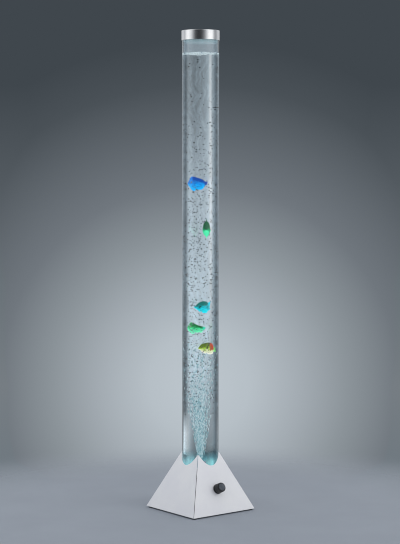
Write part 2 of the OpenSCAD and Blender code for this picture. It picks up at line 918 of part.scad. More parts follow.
module dimmer_case() {
    bush_l = 4;
    color("steelblue")
        on_face(-1, knob_side, knob_up)
            difference() {
                union() {
                    translate([0, 0, -sheet_t - pot_l])
                        cylinder(r = pot_r, h = pot_l);
                    translate([0, 0, -sheet_t])
                        cylinder(r = bush_r, h = sheet_t + bush_l);
                }
                translate([0, 0, -sheet_t - pot_l / 2 - 1])
                    cylinder(r = shaft_r + shaft_gap, h = pot_l + bush_l + sheet_t + 1);
            }
}

module dimmer_washer() {
    color("silver")
        on_face(-1, knob_side, knob_up)
            ring(washer_r, bush_r + pass_gap, 0.6);
}

module dimmer_nut() {
    color("silver")
        on_face(-1, knob_side, knob_up)
            translate([0, 0, 0.6])
                difference() {
                    cylinder(r = bush_r + 2.4, h = 2.4, $fn = 6);
                    translate([0, 0, -1])
                        cylinder(r = bush_r + pass_gap, h = 5);
                }
}

module control_board() {
    color("darkgreen")
        translate([-board_l / 2, -board_at - board_w, board_z])
            cube([board_l, board_w, pcb_t]);
}

module board_parts() {
    top = board_z + pcb_t;
    far_y = -board_at - board_w + 8;
    color("dimgray") {
        for (i = [0 : 3])
            translate([connector_x(i) - connector_w / 2, connector_y - connector_d / 2, top])
                cube([connector_w, connector_d, connector_h]);
        translate([-22, far_y, top])
            cylinder(r = 4, h = 11);
        translate([-7, far_y - 4, top])
            cube([14, 8, 2.4]);
        translate([18, far_y - 2, top])
            cube([10, 4.5, 9]);
    }
}

module board_standoffs() {
    color("goldenrod")
        for (sx = [-1, 1], sy = [-1, 1])
            translate([sx * (board_l / 2 - 4), -board_at - board_w / 2 + sy * (board_w / 2 - 4), plate_top])
                cylinder(r = 2.5, h = standoff_h);
}

module power_inlet() {
    flange_t = 1.2;
    color("black")
        on_face(1, -jack_at, jack_up)
            difference() {
                union() {
                    translate([0, 0, -sheet_t - jack_l])
                        cylinder(r = jack_case_r, h = jack_l);
                    translate([0, 0, -sheet_t])
                        cylinder(r = jack_r, h = sheet_t + 4.5);
                }
                translate([0, 0, -sheet_t - 7])
                    ring(jack_bore_r, jack_pin_r, 20);
                translate([0, 0, 3.5])
                    cylinder(r = jack_bore_r, h = 4);
            }
}

module inlet_ring_nut() {
    color("silver")
        on_face(1, -jack_at, jack_up)
            ring(ring_nut_r, jack_r + pass_gap, 2.2);
}

// A fish is one skin from the nose to the end of its tail. t runs from 0 to 1 along it.
// Each outline gives the reach above or below the middle line as a share of the fish's height.
// The round body fills three quarters of that reach, and a thin fin the rest.
blunt_top = [[0, 0.06], [0.06, 0.19], [0.12, 0.39], [0.23, 0.5], [0.38, 0.45], [0.55, 0.38], [0.7, 0.3], [0.86, 0.19], [1, 0.14]];
blunt_low = [[0, 0.05], [0.08, 0.2], [0.15, 0.35], [0.29, 0.5], [0.4, 0.45], [0.52, 0.39], [0.69, 0.4], [0.8, 0.25], [0.9, 0.1], [1, 0.02]];
long_top = [[0, 0.05], [0.02, 0.16], [0.09, 0.37], [0.2, 0.5], [0.31, 0.46], [0.43, 0.35], [0.6, 0.22], [0.77, 0.16], [0.9, 0.16], [1, 0.09]];
long_low = [[0, 0.05], [0.02, 0.11], [0.07, 0.34], [0.18, 0.45], [0.31, 0.5], [0.47, 0.42], [0.64, 0.35], [0.77, 0.4], [0.88, 0.28], [0.94, 0.11], [1, 0.03]];
wedge_top = [[0, 0.02], [0.11, 0.14], [0.23, 0.31], [0.36, 0.43], [0.55, 0.49], [0.73, 0.46], [0.89, 0.44], [1, 0.47]];
wedge_low = [[0, 0.08], [0.11, 0.15], [0.23, 0.25], [0.32, 0.39], [0.48, 0.47], [0.64, 0.5], [0.77, 0.47], [0.89, 0.34], [1, 0.26]];
oval_top = [[0, 0.04], [0.08, 0.26], [0.2, 0.44], [0.38, 0.54], [0.58, 0.52], [0.74, 0.36], [0.84, 0.12], [0.92, 0.14], [1, 0.2]];
oval_low = [[0, 0.08], [0.1, 0.24], [0.22, 0.36], [0.4, 0.45], [0.6, 0.46], [0.76, 0.34], [0.84, 0.18], [0.92, 0.22], [1, 0.26]];
drop_top = [[0, 0.03], [0.06, 0.22], [0.16, 0.37], [0.31, 0.45], [0.52, 0.5], [0.66, 0.47], [0.78, 0.35], [0.84, 0.15], [0.88, 0.05], [1, 0.03]];
drop_low = [[0, 0.05], [0.1, 0.17], [0.2, 0.29], [0.33, 0.42], [0.48, 0.47], [0.64, 0.5], [0.76, 0.45], [0.85, 0.34], [0.92, 0.39], [1, 0.31]];
thick_shape = [[0, 0.14], [0.05, 0.5], [0.14, 0.85], [0.28, 1], [0.45, 0.94], [0.6, 0.7], [0.74, 0.36],
    [0.84, 0.14], [1, 0.08]];
fish_rings = 28;
fish_sides = 24;
fin_share = 0.25;
function fin_blade(a) = pow(abs(sin(a)), 9);
function fish_reach(outline, t, a) = lookup(t, outline) * (1 - fin_share + fin_share * fin_blade(a));
function fish_point(long, tall, thick, top, low, t, a) = [
    long * (t - 0.5),
    thick / 2 * lookup(t, thick_shape) * cos(a),
    tall * sin(a) * fish_reach(sin(a) > 0 ? top : low, t, a)];

module fish(long, tall, thick, top, low) {
    points = [for (i = [0 : fish_rings - 1], k = [0 : fish_sides - 1])
        fish_point(long, tall, thick, top, low, i / (fish_rings - 1), 360 * k / fish_sides)];
    polyhedron(points = points, faces = concat(skin(0, fish_rings, fish_sides, 1),
        fan(0, fish_sides, 1), fan((fish_rings - 1) * fish_sides, fish_sides, -1)));
}

// across is the fish's place to the viewer's right, near its place towards the viewer.
module place_fish(across, near, up, turn) {
    rotate([0, 0, swim_turn])
        translate([across, -near, up])
            rotate([0, 0, turn])
                children();
}

module fish_blue() {
    color("royalblue")
        place_fish(-6.3, 20, blue_up, 0)
            fish(45, 38, 12, blunt_top, blunt_low);
}

module fish_green() {
    color("mediumseagreen")
        place_fish(11.7, 0, green_up, 90)
            fish(40, 48, 15, oval_top, oval_low);
}

module fish_cyan() {
    color("darkturquoise")
        place_fish(3.6, 6, cyan_up, 0)
            fish(33, 31, 11, wedge_top, wedge_low);
}

module fish_mint() {
    color("mediumaquamarine")
        place_fish(-7, -8, mint_up, 0)
            fish(33, 30, 11, long_top, long_low);
}

module fish_gold() {
    color("gold")
        place_fish(15.8, 19, gold_up, 0)
            fish(41, 31, 11, drop_top, drop_low);
}

cap_shell();
lid_plug();
lid_seal();
tube();
tube_floor();
tube_gasket();
tube_socket();
tube_deck();
deck_posts();
light_diffuser();
led_board();
led_emitters();
led_spacers();
air_stone();
inlet_elbow();
inlet_washer();
inlet_nut();
air_hose();
check_valve();
pump_hose();
pump_case();
pump_cover();
pump_feet();
valve_block();
pump_diaphragm();
pump_arm();
arm_magnet();
arm_pin();
coil_core();
pump_coil();
shell_left();
shell_right();
front_seam_strip();
rear_seam_strip();
base_plate();
base_screws();
rubber_feet();
dimmer_knob();
knob_insert();
knob_shaft();
dimmer_case();
dimmer_washer();
dimmer_nut();
control_board();
board_parts();
board_standoffs();
power_inlet();
inlet_ring_nut();
power_lead();
light_lead();
pump_lead();
dimmer_lead();
fish_blue();
fish_green();
fish_cyan();
fish_mint();
fish_gold();
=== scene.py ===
# %% [markdown]
# # A bubble tube floor lamp, step by step
# The real lamp is a tall clear tube of water on a folded metal pyramid. A pump in the base
# blows air through the water, and small plastic fish ride on the stream.
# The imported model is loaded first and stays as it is: every new surface is fitted to it.

# %% Load the frame
import json
import math

import bmesh
import bpy
import numpy as np
from mathutils import Matrix, Quaternion, Vector


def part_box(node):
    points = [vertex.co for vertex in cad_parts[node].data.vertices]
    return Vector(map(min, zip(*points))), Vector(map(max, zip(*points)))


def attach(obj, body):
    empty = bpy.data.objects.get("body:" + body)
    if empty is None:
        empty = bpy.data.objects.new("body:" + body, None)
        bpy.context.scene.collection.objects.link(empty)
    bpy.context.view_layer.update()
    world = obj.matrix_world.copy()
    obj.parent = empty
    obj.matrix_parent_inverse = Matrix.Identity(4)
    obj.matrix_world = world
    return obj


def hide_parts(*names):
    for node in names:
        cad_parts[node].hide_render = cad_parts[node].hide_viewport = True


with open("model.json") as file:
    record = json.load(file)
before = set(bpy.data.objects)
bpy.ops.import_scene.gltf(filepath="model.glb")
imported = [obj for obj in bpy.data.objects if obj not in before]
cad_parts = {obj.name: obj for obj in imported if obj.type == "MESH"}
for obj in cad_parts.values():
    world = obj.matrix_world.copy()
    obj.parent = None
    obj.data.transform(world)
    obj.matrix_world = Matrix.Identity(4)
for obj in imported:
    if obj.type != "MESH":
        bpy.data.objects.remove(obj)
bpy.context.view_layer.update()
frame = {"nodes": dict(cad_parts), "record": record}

nodes = frame["nodes"]

# %% [markdown]
# ## Sizes
# Sizes are in millimetres, as a maker writes them, and turn into metres in one place.
# They repeat what the solid model has, so that a new surface lies where its solid lies.

# %% Sizes of the lamp
MM = 0.001
LAMP_H = 1200
BASE_HALF = 98.0
SHELL_RISE = 217.0
FOOT_H = 3.0
SHEET_T = 1.5
FLANGE_W = 14.0
SEAM_GAP = 1.2
TUBE_R, BORE_R = 46.0, 43.0
TUBE_Z, TUBE_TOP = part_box("tube")[0].z / MM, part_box("tube")[1].z / MM
FLOOR_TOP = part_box("tube_floor")[1].z / MM
STONE_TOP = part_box("air_stone")[1].z / MM
WATER_TOP = 1143.0
LEAN = math.atan(BASE_HALF / SHELL_RISE)
KNOB_UP, KNOB_SIDE = 61.0, -3.0
print("tube from", round(TUBE_Z, 2), "to", round(TUBE_TOP, 2), "mm")

# %% [markdown]
# ## Turning arrays into meshes
# Nearly every piece here is a grid: rows of points, each row as long as the next.
# One function joins neighbours into four-cornered faces, and one puts the grids into a mesh,
# welds the points that meet at poles and seams, and turns all faces outwards.
# Blender's Screw, Skin or Array could make most of these shapes. Arrays are used instead,
# because each point then comes from a formula, and a changed size keeps the shape true.

# %% From grids to meshes
def grid_faces(rows, columns, loop_rows=False, loop_columns=False):
    """Faces between neighbours on a grid. A looped side joins its last line to its first."""
    i = np.arange(rows if loop_rows else rows - 1)
    j = np.arange(columns if loop_columns else columns - 1)
    i, j = [a.ravel() for a in np.meshgrid(i, j, indexing="ij")]
    i2, j2 = (i + 1) % rows, (j + 1) % columns
    return np.stack([i * columns + j, i2 * columns + j, i2 * columns + j2, i * columns + j2], 1)


def points_at(*values):
    """Numbers and arrays, spread to one shape, side by side as the coordinates of points."""
    return np.stack(np.broadcast_arrays(*values), -1)


def part(points, faces, uv=None, look=0):
    """One closed surface: points in millimetres, faces, a place on the pattern for each point,
    and the number of its look."""
    points = np.asarray(points, float).reshape(-1, 3)
    uv = np.zeros((len(points), 2)) if uv is None else np.asarray(uv, float).reshape(-1, 2)
    return points, faces, uv, look


def make_mesh(name, parts, materials, sharp=40, weld=2e-3):
    """Joins parts into one mesh, welds points closer than weld mm, and turns faces outwards."""
    starts = np.cumsum([0] + [len(p[0]) for p in parts[:-1]])
    faces = np.concatenate([p[1] + s for p, s in zip(parts, starts)])
    uv = np.concatenate([p[2] for p in parts])
    looks = np.concatenate([np.full(len(p[1]), p[3]) for p in parts])
    mesh = bpy.data.meshes.new(name)
    mesh.from_pydata((np.concatenate([p[0] for p in parts]) * MM).tolist(), [], faces.tolist())
    mesh.polygons.foreach_set("material_index", looks.astype(np.int32))
    mesh.uv_layers.new(name="UVMap").data.foreach_set("uv", uv[faces.ravel()].ravel())
    for material in materials:
        mesh.materials.append(material)
    work = bmesh.new()
    work.from_mesh(mesh)
    bmesh.ops.remove_doubles(work, verts=work.verts, dist=weld * MM)
    bmesh.ops.dissolve_degenerate(work, edges=work.edges, dist=1e-7)
    bmesh.ops.recalc_face_normals(work, faces=work.faces)
    work.to_mesh(mesh)
    work.free()
    mesh.shade_smooth()
    mesh.set_sharp_from_angle(angle=math.radians(sharp))
    return mesh


print("a grid of 3 by 4 points has", len(grid_faces(3, 4)), "faces")

# %% From meshes to pieces
# Each finish made further down is kept here under its name.
finishes = {}


def new_object(name, data):
    """An object for a mesh, a lamp or a camera, linked to the scene."""
    thing = bpy.data.objects.new(name, data)
    bpy.context.scene.collection.objects.link(thing)
    return thing


def make_piece(name, parts, body, node=None, slot=None, looks=None, sharp=40, weld=2e-3):
    """A piece that rides on a body. It may stand for a node and takes the finish of its slot,
    unless its looks are named."""
    mesh = make_mesh(name, parts, [finishes[look] for look in looks or [slot]], sharp, weld)
    piece = new_object(name, mesh)
    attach(piece, body)
    if node:
        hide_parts(node)
    print(name, len(mesh.vertices), "points", len(mesh.polygons), "faces")
    return piece


# %% Profiles, turns and places
def round_corners(corners, cuts, loop=True, steps=6):
    """A corner c becomes the curve (1-t)(1-t)a + 2t(1-t)c + t t b, where a and b lie one cut
    before and after c. A point just outside a and b keeps the flat sides flat in the shading."""
    c = np.asarray(corners, float)
    before, after = np.roll(c, 1, 0) - c, np.roll(c, -1, 0) - c
    gap_before, gap_after = np.linalg.norm(before, axis=1), np.linalg.norm(after, axis=1)
    room = np.minimum(gap_before, gap_after) * 0.42
    cut = np.minimum(np.broadcast_to(np.asarray(cuts, float), len(c)), room)[:, None]
    before /= np.maximum(gap_before, 1e-9)[:, None]
    after /= np.maximum(gap_after, 1e-9)[:, None]
    a, b = c + before * cut, c + after * cut
    t = np.linspace(0, 1, steps)[None, :, None]
    curve = (1 - t) ** 2 * a[:, None] + 2 * t * (1 - t) * c[:, None] + t ** 2 * b[:, None]
    first, last = c + before * cut * 1.15, c + after * cut * 1.15
    rows = np.concatenate([first[:, None], curve, last[:, None]], 1)
    if loop:
        return rows.reshape(-1, 2)
    return np.concatenate([c[:1], rows[1:-1].reshape(-1, 2), c[-1:]])


def full_turn(count):
    """Angles once round, as one row."""
    return np.linspace(0, 2 * np.pi, count, endpoint=False)[None, :]


def turned(profile, loop=True, segments=192, look=0):
    """A profile of (radius, height) carried round the Z axis: (r cos a, r sin a, z)."""
    a = full_turn(segments)
    r, z = profile[:, :1], profile[:, 1:]
    points = points_at(r * np.cos(a), r * np.sin(a), z)
    uv = points_at(a / (2 * np.pi), z / 100)
    return part(points, grid_faces(len(profile), segments, loop, True), uv, look)


def moved(one, matrix):
    """The same part after a turn and a shift, with matrix as four rows of four numbers."""
    points, faces, uv, look = one
    m = np.array(matrix, float)
    return points @ m[:3, :3].T + m[:3, 3], faces, uv, look


def turn_about(axis, angle):
    return Matrix.Rotation(angle, 4, axis)


def shift(x, y, z):
    return Matrix.Translation((x, y, z))


print("a square of 4 corners gets", len(round_corners([(0, 0), (1, 0), (1, 1), (0, 1)], 0.1)), "points")

# %% [markdown]
# ## The camera
# The photo was taken from about four metres away, level with the tube's upper part, with a
# long lens, which keeps the sides of the tall tube nearly parallel. Moving a camera by eye
# would take many tries. Its place was worked out from the base's three corners, the knob
# and the cap.

# %% Place the camera
CAMERA_TURN = math.radians(38.3)
CAMERA_TILT = math.radians(3.98)
CAMERA_ROLL = math.radians(0.037)
CAMERA_BACK, CAMERA_ASIDE, CAMERA_UP = 4.1, 0.0011, 0.885
ahead = Vector((math.sin(CAMERA_TURN), math.cos(CAMERA_TURN), 0))
across = Vector((math.cos(CAMERA_TURN), -math.sin(CAMERA_TURN), 0))
lens = bpy.data.cameras.new("camera")
lens.lens, lens.sensor_width = 108.53, 36
lens.clip_start, lens.clip_end = 0.1, 60
camera = new_object("camera", lens)
camera.location = ahead * -CAMERA_BACK - across * CAMERA_ASIDE + Vector((0, 0, CAMERA_UP))
look = ahead * math.cos(CAMERA_TILT) - Vector((0, 0, math.sin(CAMERA_TILT)))
roll = Quaternion((0, 0, 1), CAMERA_ROLL)
camera.rotation_euler = (look.to_track_quat("-Z", "Y") @ roll).to_euler()
bpy.context.scene.camera = camera
print("camera at", [round(v, 3) for v in camera.location])

# %% [markdown]
# ## Building materials with few words
# A material is a small graph of nodes. These helpers add a node, set or link its sockets and
# give back what it puts out, so a finish reads as a list of steps. Colours are written as they
# look on a screen, from 0 to 255, and turned into the light values that the renderer works with.

# %% Node helpers
def colour(red, green, blue):
    """Screen values from 0 to 255 as linear light."""
    c = np.array([red, green, blue]) / 255
    linear = np.where(c <= 0.04045, c / 12.92, ((c + 0.055) / 1.055) ** 2.4)
    return (*linear.tolist(), 1.0)


def set_sockets(tree, node, sockets):
    """Links a named or numbered socket to another node's socket, or sets its value."""
    for key, value in sockets.items():
        if isinstance(value, bpy.types.NodeSocket):
            tree.links.new(value, node.inputs[key])
        else:
            node.inputs[key].default_value = value


def put(tree, kind, sockets=None, **settings):
    """Adds a node with its settings and sockets."""
    node = tree.nodes.new("ShaderNode" + kind)
    for key, value in settings.items():
        setattr(node, key, value)
    set_sockets(tree, node, sockets or {})
    return node


def new_finish(name):
    """A new material, kept under its name: its graph and its main shader."""
    material = bpy.data.materials.new(name)
    material.use_nodes = True
    finishes[name] = material
    print("finish:", name)
    return material.node_tree, material.node_tree.nodes["Principled BSDF"]


print("mid grey on a screen is", round(colour(128, 128, 128)[0], 3), "of white as light")

# %% Sums of values, vectors and colours
def maths(tree, operation, a, b=0.0):
    return put(tree, "Math", {0: a, 1: b}, operation=operation).outputs[0]


def plus(tree, a, b):
    return maths(tree, "ADD", a, b)


def minus(tree, a, b):
    return maths(tree, "SUBTRACT", a, b)


def times(tree, first, *others):
    """The product of all values given."""
    for other in others:
        first = maths(tree, "MULTIPLY", first, other)
    return first


def stretched(tree, vector, factors):
    return put(tree, "VectorMath", {0: vector, 1: factors}, operation="MULTIPLY").outputs[0]


def dot(tree, vector, direction):
    """How far a vector reaches along a direction."""
    return put(tree, "VectorMath", {0: vector, 1: direction}, operation="DOT_PRODUCT").outputs["Value"]


def blend_colours(tree, share, a, b, way="MIX"):
    return put(tree, "Mix", {0: share, 6: a, 7: b}, data_type="RGBA", blend_type=way).outputs[2]


# %% Ranges, ramps, places and noise
def spread(tree, value, low, high, to_low=0.0, to_high=1.0, smooth=False):
    """Maps low..high to to_low..to_high and stops at both ends."""
    way = "SMOOTHSTEP" if smooth else "LINEAR"
    sockets = {0: value, 1: low, 2: high, 3: to_low, 4: to_high}
    return put(tree, "MapRange", sockets, interpolation_type=way).outputs[0]


def ramp(tree, value, stops):
    """Colours along a value. A stop is (place, colour): three screen values, or four of light."""
    node = put(tree, "ValToRGB", {0: value})
    elements = node.color_ramp.elements
    while len(elements) < len(stops):
        elements.new(1.0)
    for element, (place, shade) in zip(elements, sorted(stops, key=lambda s: s[0])):
        element.position = place
        element.color = shade if len(shade) == 4 else colour(*shade)
    return node.outputs[0]


def object_place(tree):
    """The place in the frame of the solid model, in metres."""
    return put(tree, "TexCoord").outputs["Object"]


def pattern_place(tree):
    """The place on the piece's own pattern: U, V and nought."""
    return put(tree, "SeparateXYZ", {0: put(tree, "UVMap", uv_map="UVMap").outputs[0]}).outputs


def noise(tree, place, scale, detail, roughness=0.5, output=0):
    sockets = {"Vector": place, "Scale": scale, "Detail": detail, "Roughness": roughness}
    return put(tree, "TexNoise", sockets).outputs[output]


def relief(tree, height, strength, depth):
    """A normal that follows the height, with its depth in millimetres."""
    return put(tree, "Bump", {"Height": height, "Strength": strength, "Distance": depth * MM}).outputs[0]


# %% [markdown]
# ## Effects that many finishes share
# No real surface has one flat colour. Moulded plastic, paint and rubber are slightly mottled,
# and all have a fine grain. Turned metal has rings instead. Each effect is a group, so that a
# finish only gives its own numbers.

# %% Shared effect groups
WHITE, BLACK = (1, 1, 1, 1), (0, 0, 0, 1)


def new_group(name, inputs, outputs):
    """An empty node group with named inputs (name, kind, value) and outputs (name, kind). Gives
    the graph, the sockets that bring the inputs, and the node that takes the outputs."""
    tree = bpy.data.node_groups.new(name, "ShaderNodeTree")
    for label, kind, value in inputs:
        socket = tree.interface.new_socket(label, in_out="INPUT", socket_type="NodeSocket" + kind)
        socket.default_value = value
    for label, kind in outputs:
        tree.interface.new_socket(label, in_out="OUTPUT", socket_type="NodeSocket" + kind)
    print("group:", name)
    return tree, tree.nodes.new("NodeGroupInput").outputs, tree.nodes.new("NodeGroupOutput")


def use_group(tree, group, **sockets):
    node = tree.nodes.new("ShaderNodeGroup")
    node.node_tree = group
    set_sockets(tree, node, sockets)
    return node.outputs


mottle, given, result = new_group(
    "mottle",
    [("Light", "Color", WHITE), ("Dark", "Color", BLACK), ("Scale", "Float", 60.0)],
    [("Color", "Color"), ("Mask", "Float")])
clouds = noise(mottle, object_place(mottle), given["Scale"], 5.0, 0.6)
mask = spread(mottle, clouds, 0.32, 0.68, smooth=True)
shade = blend_colours(mottle, mask, given["Dark"], given["Light"])
set_sockets(mottle, result, {"Mask": mask, "Color": shade})

grain, given, result = new_group(
    "grain",
    [("Stretch", "Vector", (900.0, 900.0, 900.0)), ("Low", "Float", 0.4), ("High", "Float", 0.5)],
    [("Roughness", "Float"), ("Height", "Float")])
pores = noise(grain, stretched(grain, object_place(grain), given["Stretch"]), 1.0, 3.0)
rough = spread(grain, pores, 0.3, 0.7, given["Low"], given["High"])
set_sockets(grain, result, {"Roughness": rough, "Height": pores})

# Lathe marks: rings that depend only on the distance from the lamp's axis and the height
lathe, given, result = new_group(
    "lathe marks",
    [("Fineness", "Float", 4000.0), ("Low", "Float", 0.15), ("High", "Float", 0.3)],
    [("Roughness", "Float"), ("Height", "Float")])
x, y, z = put(lathe, "SeparateXYZ", {0: object_place(lathe)}).outputs
radius = maths(lathe, "SQRT", plus(lathe, times(lathe, x, x), times(lathe, y, y)))
rings = put(lathe, "CombineXYZ", {0: radius, 1: 0.0, 2: z}).outputs[0]
marks = noise(lathe, rings, given["Fineness"], 2.0)
rough = spread(lathe, marks, 0.3, 0.7, given["Low"], given["High"])
set_sockets(lathe, result, {"Roughness": rough, "Height": marks})

# %% [markdown]
# ## Plain finishes from one table
# Most small pieces differ only in colours, gloss and grain. Each line gives the slot, the two
# colours of the mottle, its scale, the range of roughness, how metallic it is, the grain's
# fineness along X, Y and Z, and the depth of the grain in millimetres.

# %% Table of plain finishes
FINISHES = {
    "seal_rubber": ((222, 225, 224), (205, 210, 210), 90, 0.35, 0.5, 0, (700, 700, 700), 0.02),
    "floor_acrylic": ((150, 186, 192), (132, 170, 178), 70, 0.2, 0.35, 0, (500, 500, 500), 0.01),
    "black_rubber": ((34, 35, 37), (20, 21, 23), 120, 0.6, 0.8, 0, (1500, 1500, 1500), 0.05),
    "black_plastic": ((38, 39, 42), (26, 27, 29), 80, 0.35, 0.5, 0, (1800, 1800, 1800), 0.03),
    "deck_plate": ((150, 153, 157), (128, 131, 136), 45, 0.35, 0.5, 1, (60, 2600, 900), 0.015),
    "turned_steel": ((190, 193, 197), (160, 163, 168), 60, 0.25, 0.4, 1, (900, 900, 3000), 0.01),
    # The seam strips behind the gap are near black so that the gap reads as a dark line: painted shade.
    "strip_black": ((36, 38, 42), (24, 26, 29), 90, 0.4, 0.55, 0, (1500, 1500, 1500), 0.02),
    "diffuser_sheet": ((240, 246, 248), (226, 236, 240), 60, 0.5, 0.65, 0, (900, 900, 900), 0.01),
    "circuit_board": ((30, 96, 62), (20, 74, 46), 110, 0.3, 0.45, 0, (300, 2200, 900), 0.02),
    "white_plastic": ((232, 232, 228), (214, 214, 209), 55, 0.35, 0.5, 0, (1600, 1600, 1600), 0.03),
    "stone": ((150, 170, 186), (96, 114, 130), 420, 0.8, 0.95, 0, (1500, 1500, 1500), 0.5),
    "silicone_hose": ((226, 232, 232), (206, 214, 214), 60, 0.25, 0.4, 0, (500, 500, 500), 0.02),
    "valve_plastic": ((170, 205, 222), (150, 188, 208), 80, 0.25, 0.4, 0, (900, 900, 900), 0.02),
    "arm_steel": ((190, 170, 120), (160, 142, 98), 90, 0.3, 0.45, 1, (900, 90, 2600), 0.015),
    "magnet": ((70, 70, 74), (44, 44, 48), 160, 0.45, 0.6, 1, (1200, 1200, 1200), 0.04),
    "core_steel": ((112, 116, 122), (80, 84, 90), 80, 0.4, 0.55, 1, (80, 3600, 80), 0.06),
    "winding": ((190, 104, 52), (150, 76, 34), 150, 0.25, 0.4, 1, (3200, 120, 120), 0.12),
    "dimmer_body": ((96, 122, 150), (74, 98, 124), 90, 0.3, 0.45, 0, (900, 900, 900), 0.02),
    "board_mix": ((58, 60, 64), (36, 37, 40), 70, 0.3, 0.5, 0, (1500, 1500, 1500), 0.03),
    "brass": ((206, 172, 100), (178, 144, 76), 80, 0.25, 0.4, 1, (900, 900, 3200), 0.015),
    "lead_black": ((30, 30, 32), (18, 18, 20), 80, 0.4, 0.55, 0, (900, 900, 900), 0.02),
    "lead_grey": ((128, 130, 134), (108, 110, 114), 80, 0.4, 0.55, 0, (900, 900, 900), 0.02),
    "lead_white": ((224, 224, 220), (204, 204, 200), 80, 0.4, 0.55, 0, (900, 900, 900), 0.02),
    "knob_plastic": ((26, 27, 30), (16, 17, 19), 130, 0.28, 0.42, 0, (1900, 1900, 1900), 0.04),
    "knob_disc": ((98, 104, 112), (74, 80, 88), 150, 0.24, 0.36, 0.6, (1400, 1400, 1400), 0.02),
}
# Sheets that glow, because the ring of lights is under them: colour and strength
GLOWS = {"diffuser_sheet": ((110, 180, 192), 0.4), "floor_acrylic": ((86, 146, 156), 0.25)}


def mottled(tree, light, dark, scale):
    """The mottle's colour, between two screen colours."""
    return use_group(tree, mottle, Light=colour(*light), Dark=colour(*dark), Scale=scale)["Color"]


def plain_finish(name, light, dark, scale, low, high, metallic, stretch, depth):
    tree, shader = new_finish(name)
    skin = use_group(tree, grain, Stretch=stretch, Low=low, High=high)
    set_sockets(tree, shader, {
        "Base Color": mottled(tree, light, dark, scale),
        "Roughness": skin["Roughness"],
        "Normal": relief(tree, skin["Height"], 0.6, depth),
        "Metallic": metallic})
    if name in GLOWS:
        shade, strength = GLOWS[name]
        set_sockets(tree, shader, {"Emission Color": colour(*shade), "Emission Strength": strength})


for name, row in FINISHES.items():
    plain_finish(name, *row)

# %% [markdown]
# ## Powder-coated sheet
# The base is folded sheet with a baked powder coat: silver white, satin, with the faint orange
# peel that powder leaves. One bump layer would look like plain plastic. Two layers of grain
# make it: waves a few millimetres wide, and fine grit, which shows as small bluish flecks.

# %% Powder coat
def powder_coat():
    tree, shader = new_finish("shell_coat")
    peel = use_group(tree, grain, Stretch=(420, 420, 420), Low=0.36, High=0.46)
    grit = use_group(tree, grain, Stretch=(2600, 2600, 2600), Low=0.0, High=1.0)["Height"]
    both = plus(tree, peel["Height"], times(tree, grit, 0.35))
    fleck = times(tree, spread(tree, grit, 0.62, 0.7), 0.35)
    shade = mottled(tree, (222, 222, 224), (216, 216, 220), 14)
    set_sockets(tree, shader, {
        "Base Color": blend_colours(tree, fleck, shade, colour(190, 196, 206)),
        "Roughness": peel["Roughness"],
        "Normal": relief(tree, both, 0.35, 0.06),
        "Coat Weight": 0.15,
        "Coat Roughness": 0.25})


powder_coat()

# %% [markdown]
# ## Spun cap
# The cap is spun aluminium. Its fine rings run round the axis. An image wrapped round it would
# show a join, so they come from the distance to the axis and the height instead.
# A mirror-like metal takes its bands from the studio around it.

# %% Cap metal
def cap_metal():
    tree, shader = new_finish("cap_metal")
    rings = use_group(tree, lathe, Fineness=5200, Low=0.1, High=0.2)
    set_sockets(tree, shader, {
        "Base Color": mottled(tree, (251, 252, 253), (242, 244, 247), 30),
        "Roughness": rings["Roughness"],
        "Normal": relief(tree, rings["Height"], 0.25, 0.01),
        "Metallic": 1.0,
        "Anisotropic": 0.4})


cap_metal()

# %% [markdown]
# ## Clear tube
# Acrylic bends light by 1.49 and water by 1.33 times. The tube's edges look dark because they
# show the studio's sides, and a darker band near each edge, with a paler rim outside it, is
# painted shade in the tube's own tint. True light through curved glass would take thousands of
# samples, so lamp rays pass straight through, and the fish and the floor stay lit.

# %% Glass that lets lamps through
def lamp_rays(tree):
    """1 for shadow rays and for light that a matt surface sent out, and 0 for the rest."""
    path = put(tree, "LightPath").outputs
    return maths(tree, "MAXIMUM", path["Is Shadow Ray"], path["Is Diffuse Ray"])


def mix_with_clear(tree, shader, share):
    """Leaves out a share of the surface, as if nothing was there."""
    clear = put(tree, "BsdfTransparent").outputs[0]
    mixed = put(tree, "MixShader", {0: share, 1: shader.outputs[0], 2: clear}).outputs[0]
    tree.links.new(mixed, tree.nodes["Material Output"].inputs["Surface"])


def facing_away(tree):
    """0 where a surface faces the eye, and 1 at its rim."""
    return put(tree, "LayerWeight", {"Blend": 0.5}).outputs["Facing"]


def tube_acrylic():
    tree, shader = new_finish("tube_acrylic")
    # Painted shade: a dark band near each edge and a paler rim, by how far the wall faces away.
    tint = ramp(tree, facing_away(tree), [
        (0.0, (255, 255, 255)), (0.26, (252, 254, 255)), (0.36, (205, 214, 220)),
        (0.46, (186, 198, 206)), (0.56, (225, 232, 236)), (1.0, (240, 245, 247))])
    set_sockets(tree, shader, {
        "Base Color": tint, "Roughness": 0.0, "IOR": 1.49, "Specular IOR Level": 0.05,
        "Transmission Weight": 1.0})
    mix_with_clear(tree, shader, lamp_rays(tree))


tube_acrylic()

# %% [markdown]
# ## Water
# Water is clear, but bubbles scatter the light of the ring under the tube. What an eye then
# sees is a milky veil of wavy streaks, and teal mist near the foot, where the ring is. Both lie
# on the far wall only, so that a fish in front of them stays dark where it is dark.
# A volume would do this too, but it is slow and many programs can't read one. So the glow is
# on the water's skin: colour ramps over the height say how bright the veil is and how much
# the mist hides.

# %% Water
def streaks(tree, place):
    """Noise drawn out upwards, in a place that sways."""
    sway = stretched(tree, noise(tree, place, 14.0, 2.0, output="Color"), (0.03, 0.03, 0.03))
    bent = put(tree, "VectorMath", {0: place, 1: sway}, operation="ADD").outputs[0]
    shade = noise(tree, stretched(tree, bent, (260.0, 260.0, 20.0)), 1.0, 5.0, 0.6)
    return ramp(tree, shade, [(0.38, (60, 64, 66)), (0.52, (168, 174, 178)), (0.66, (255, 255, 255))])


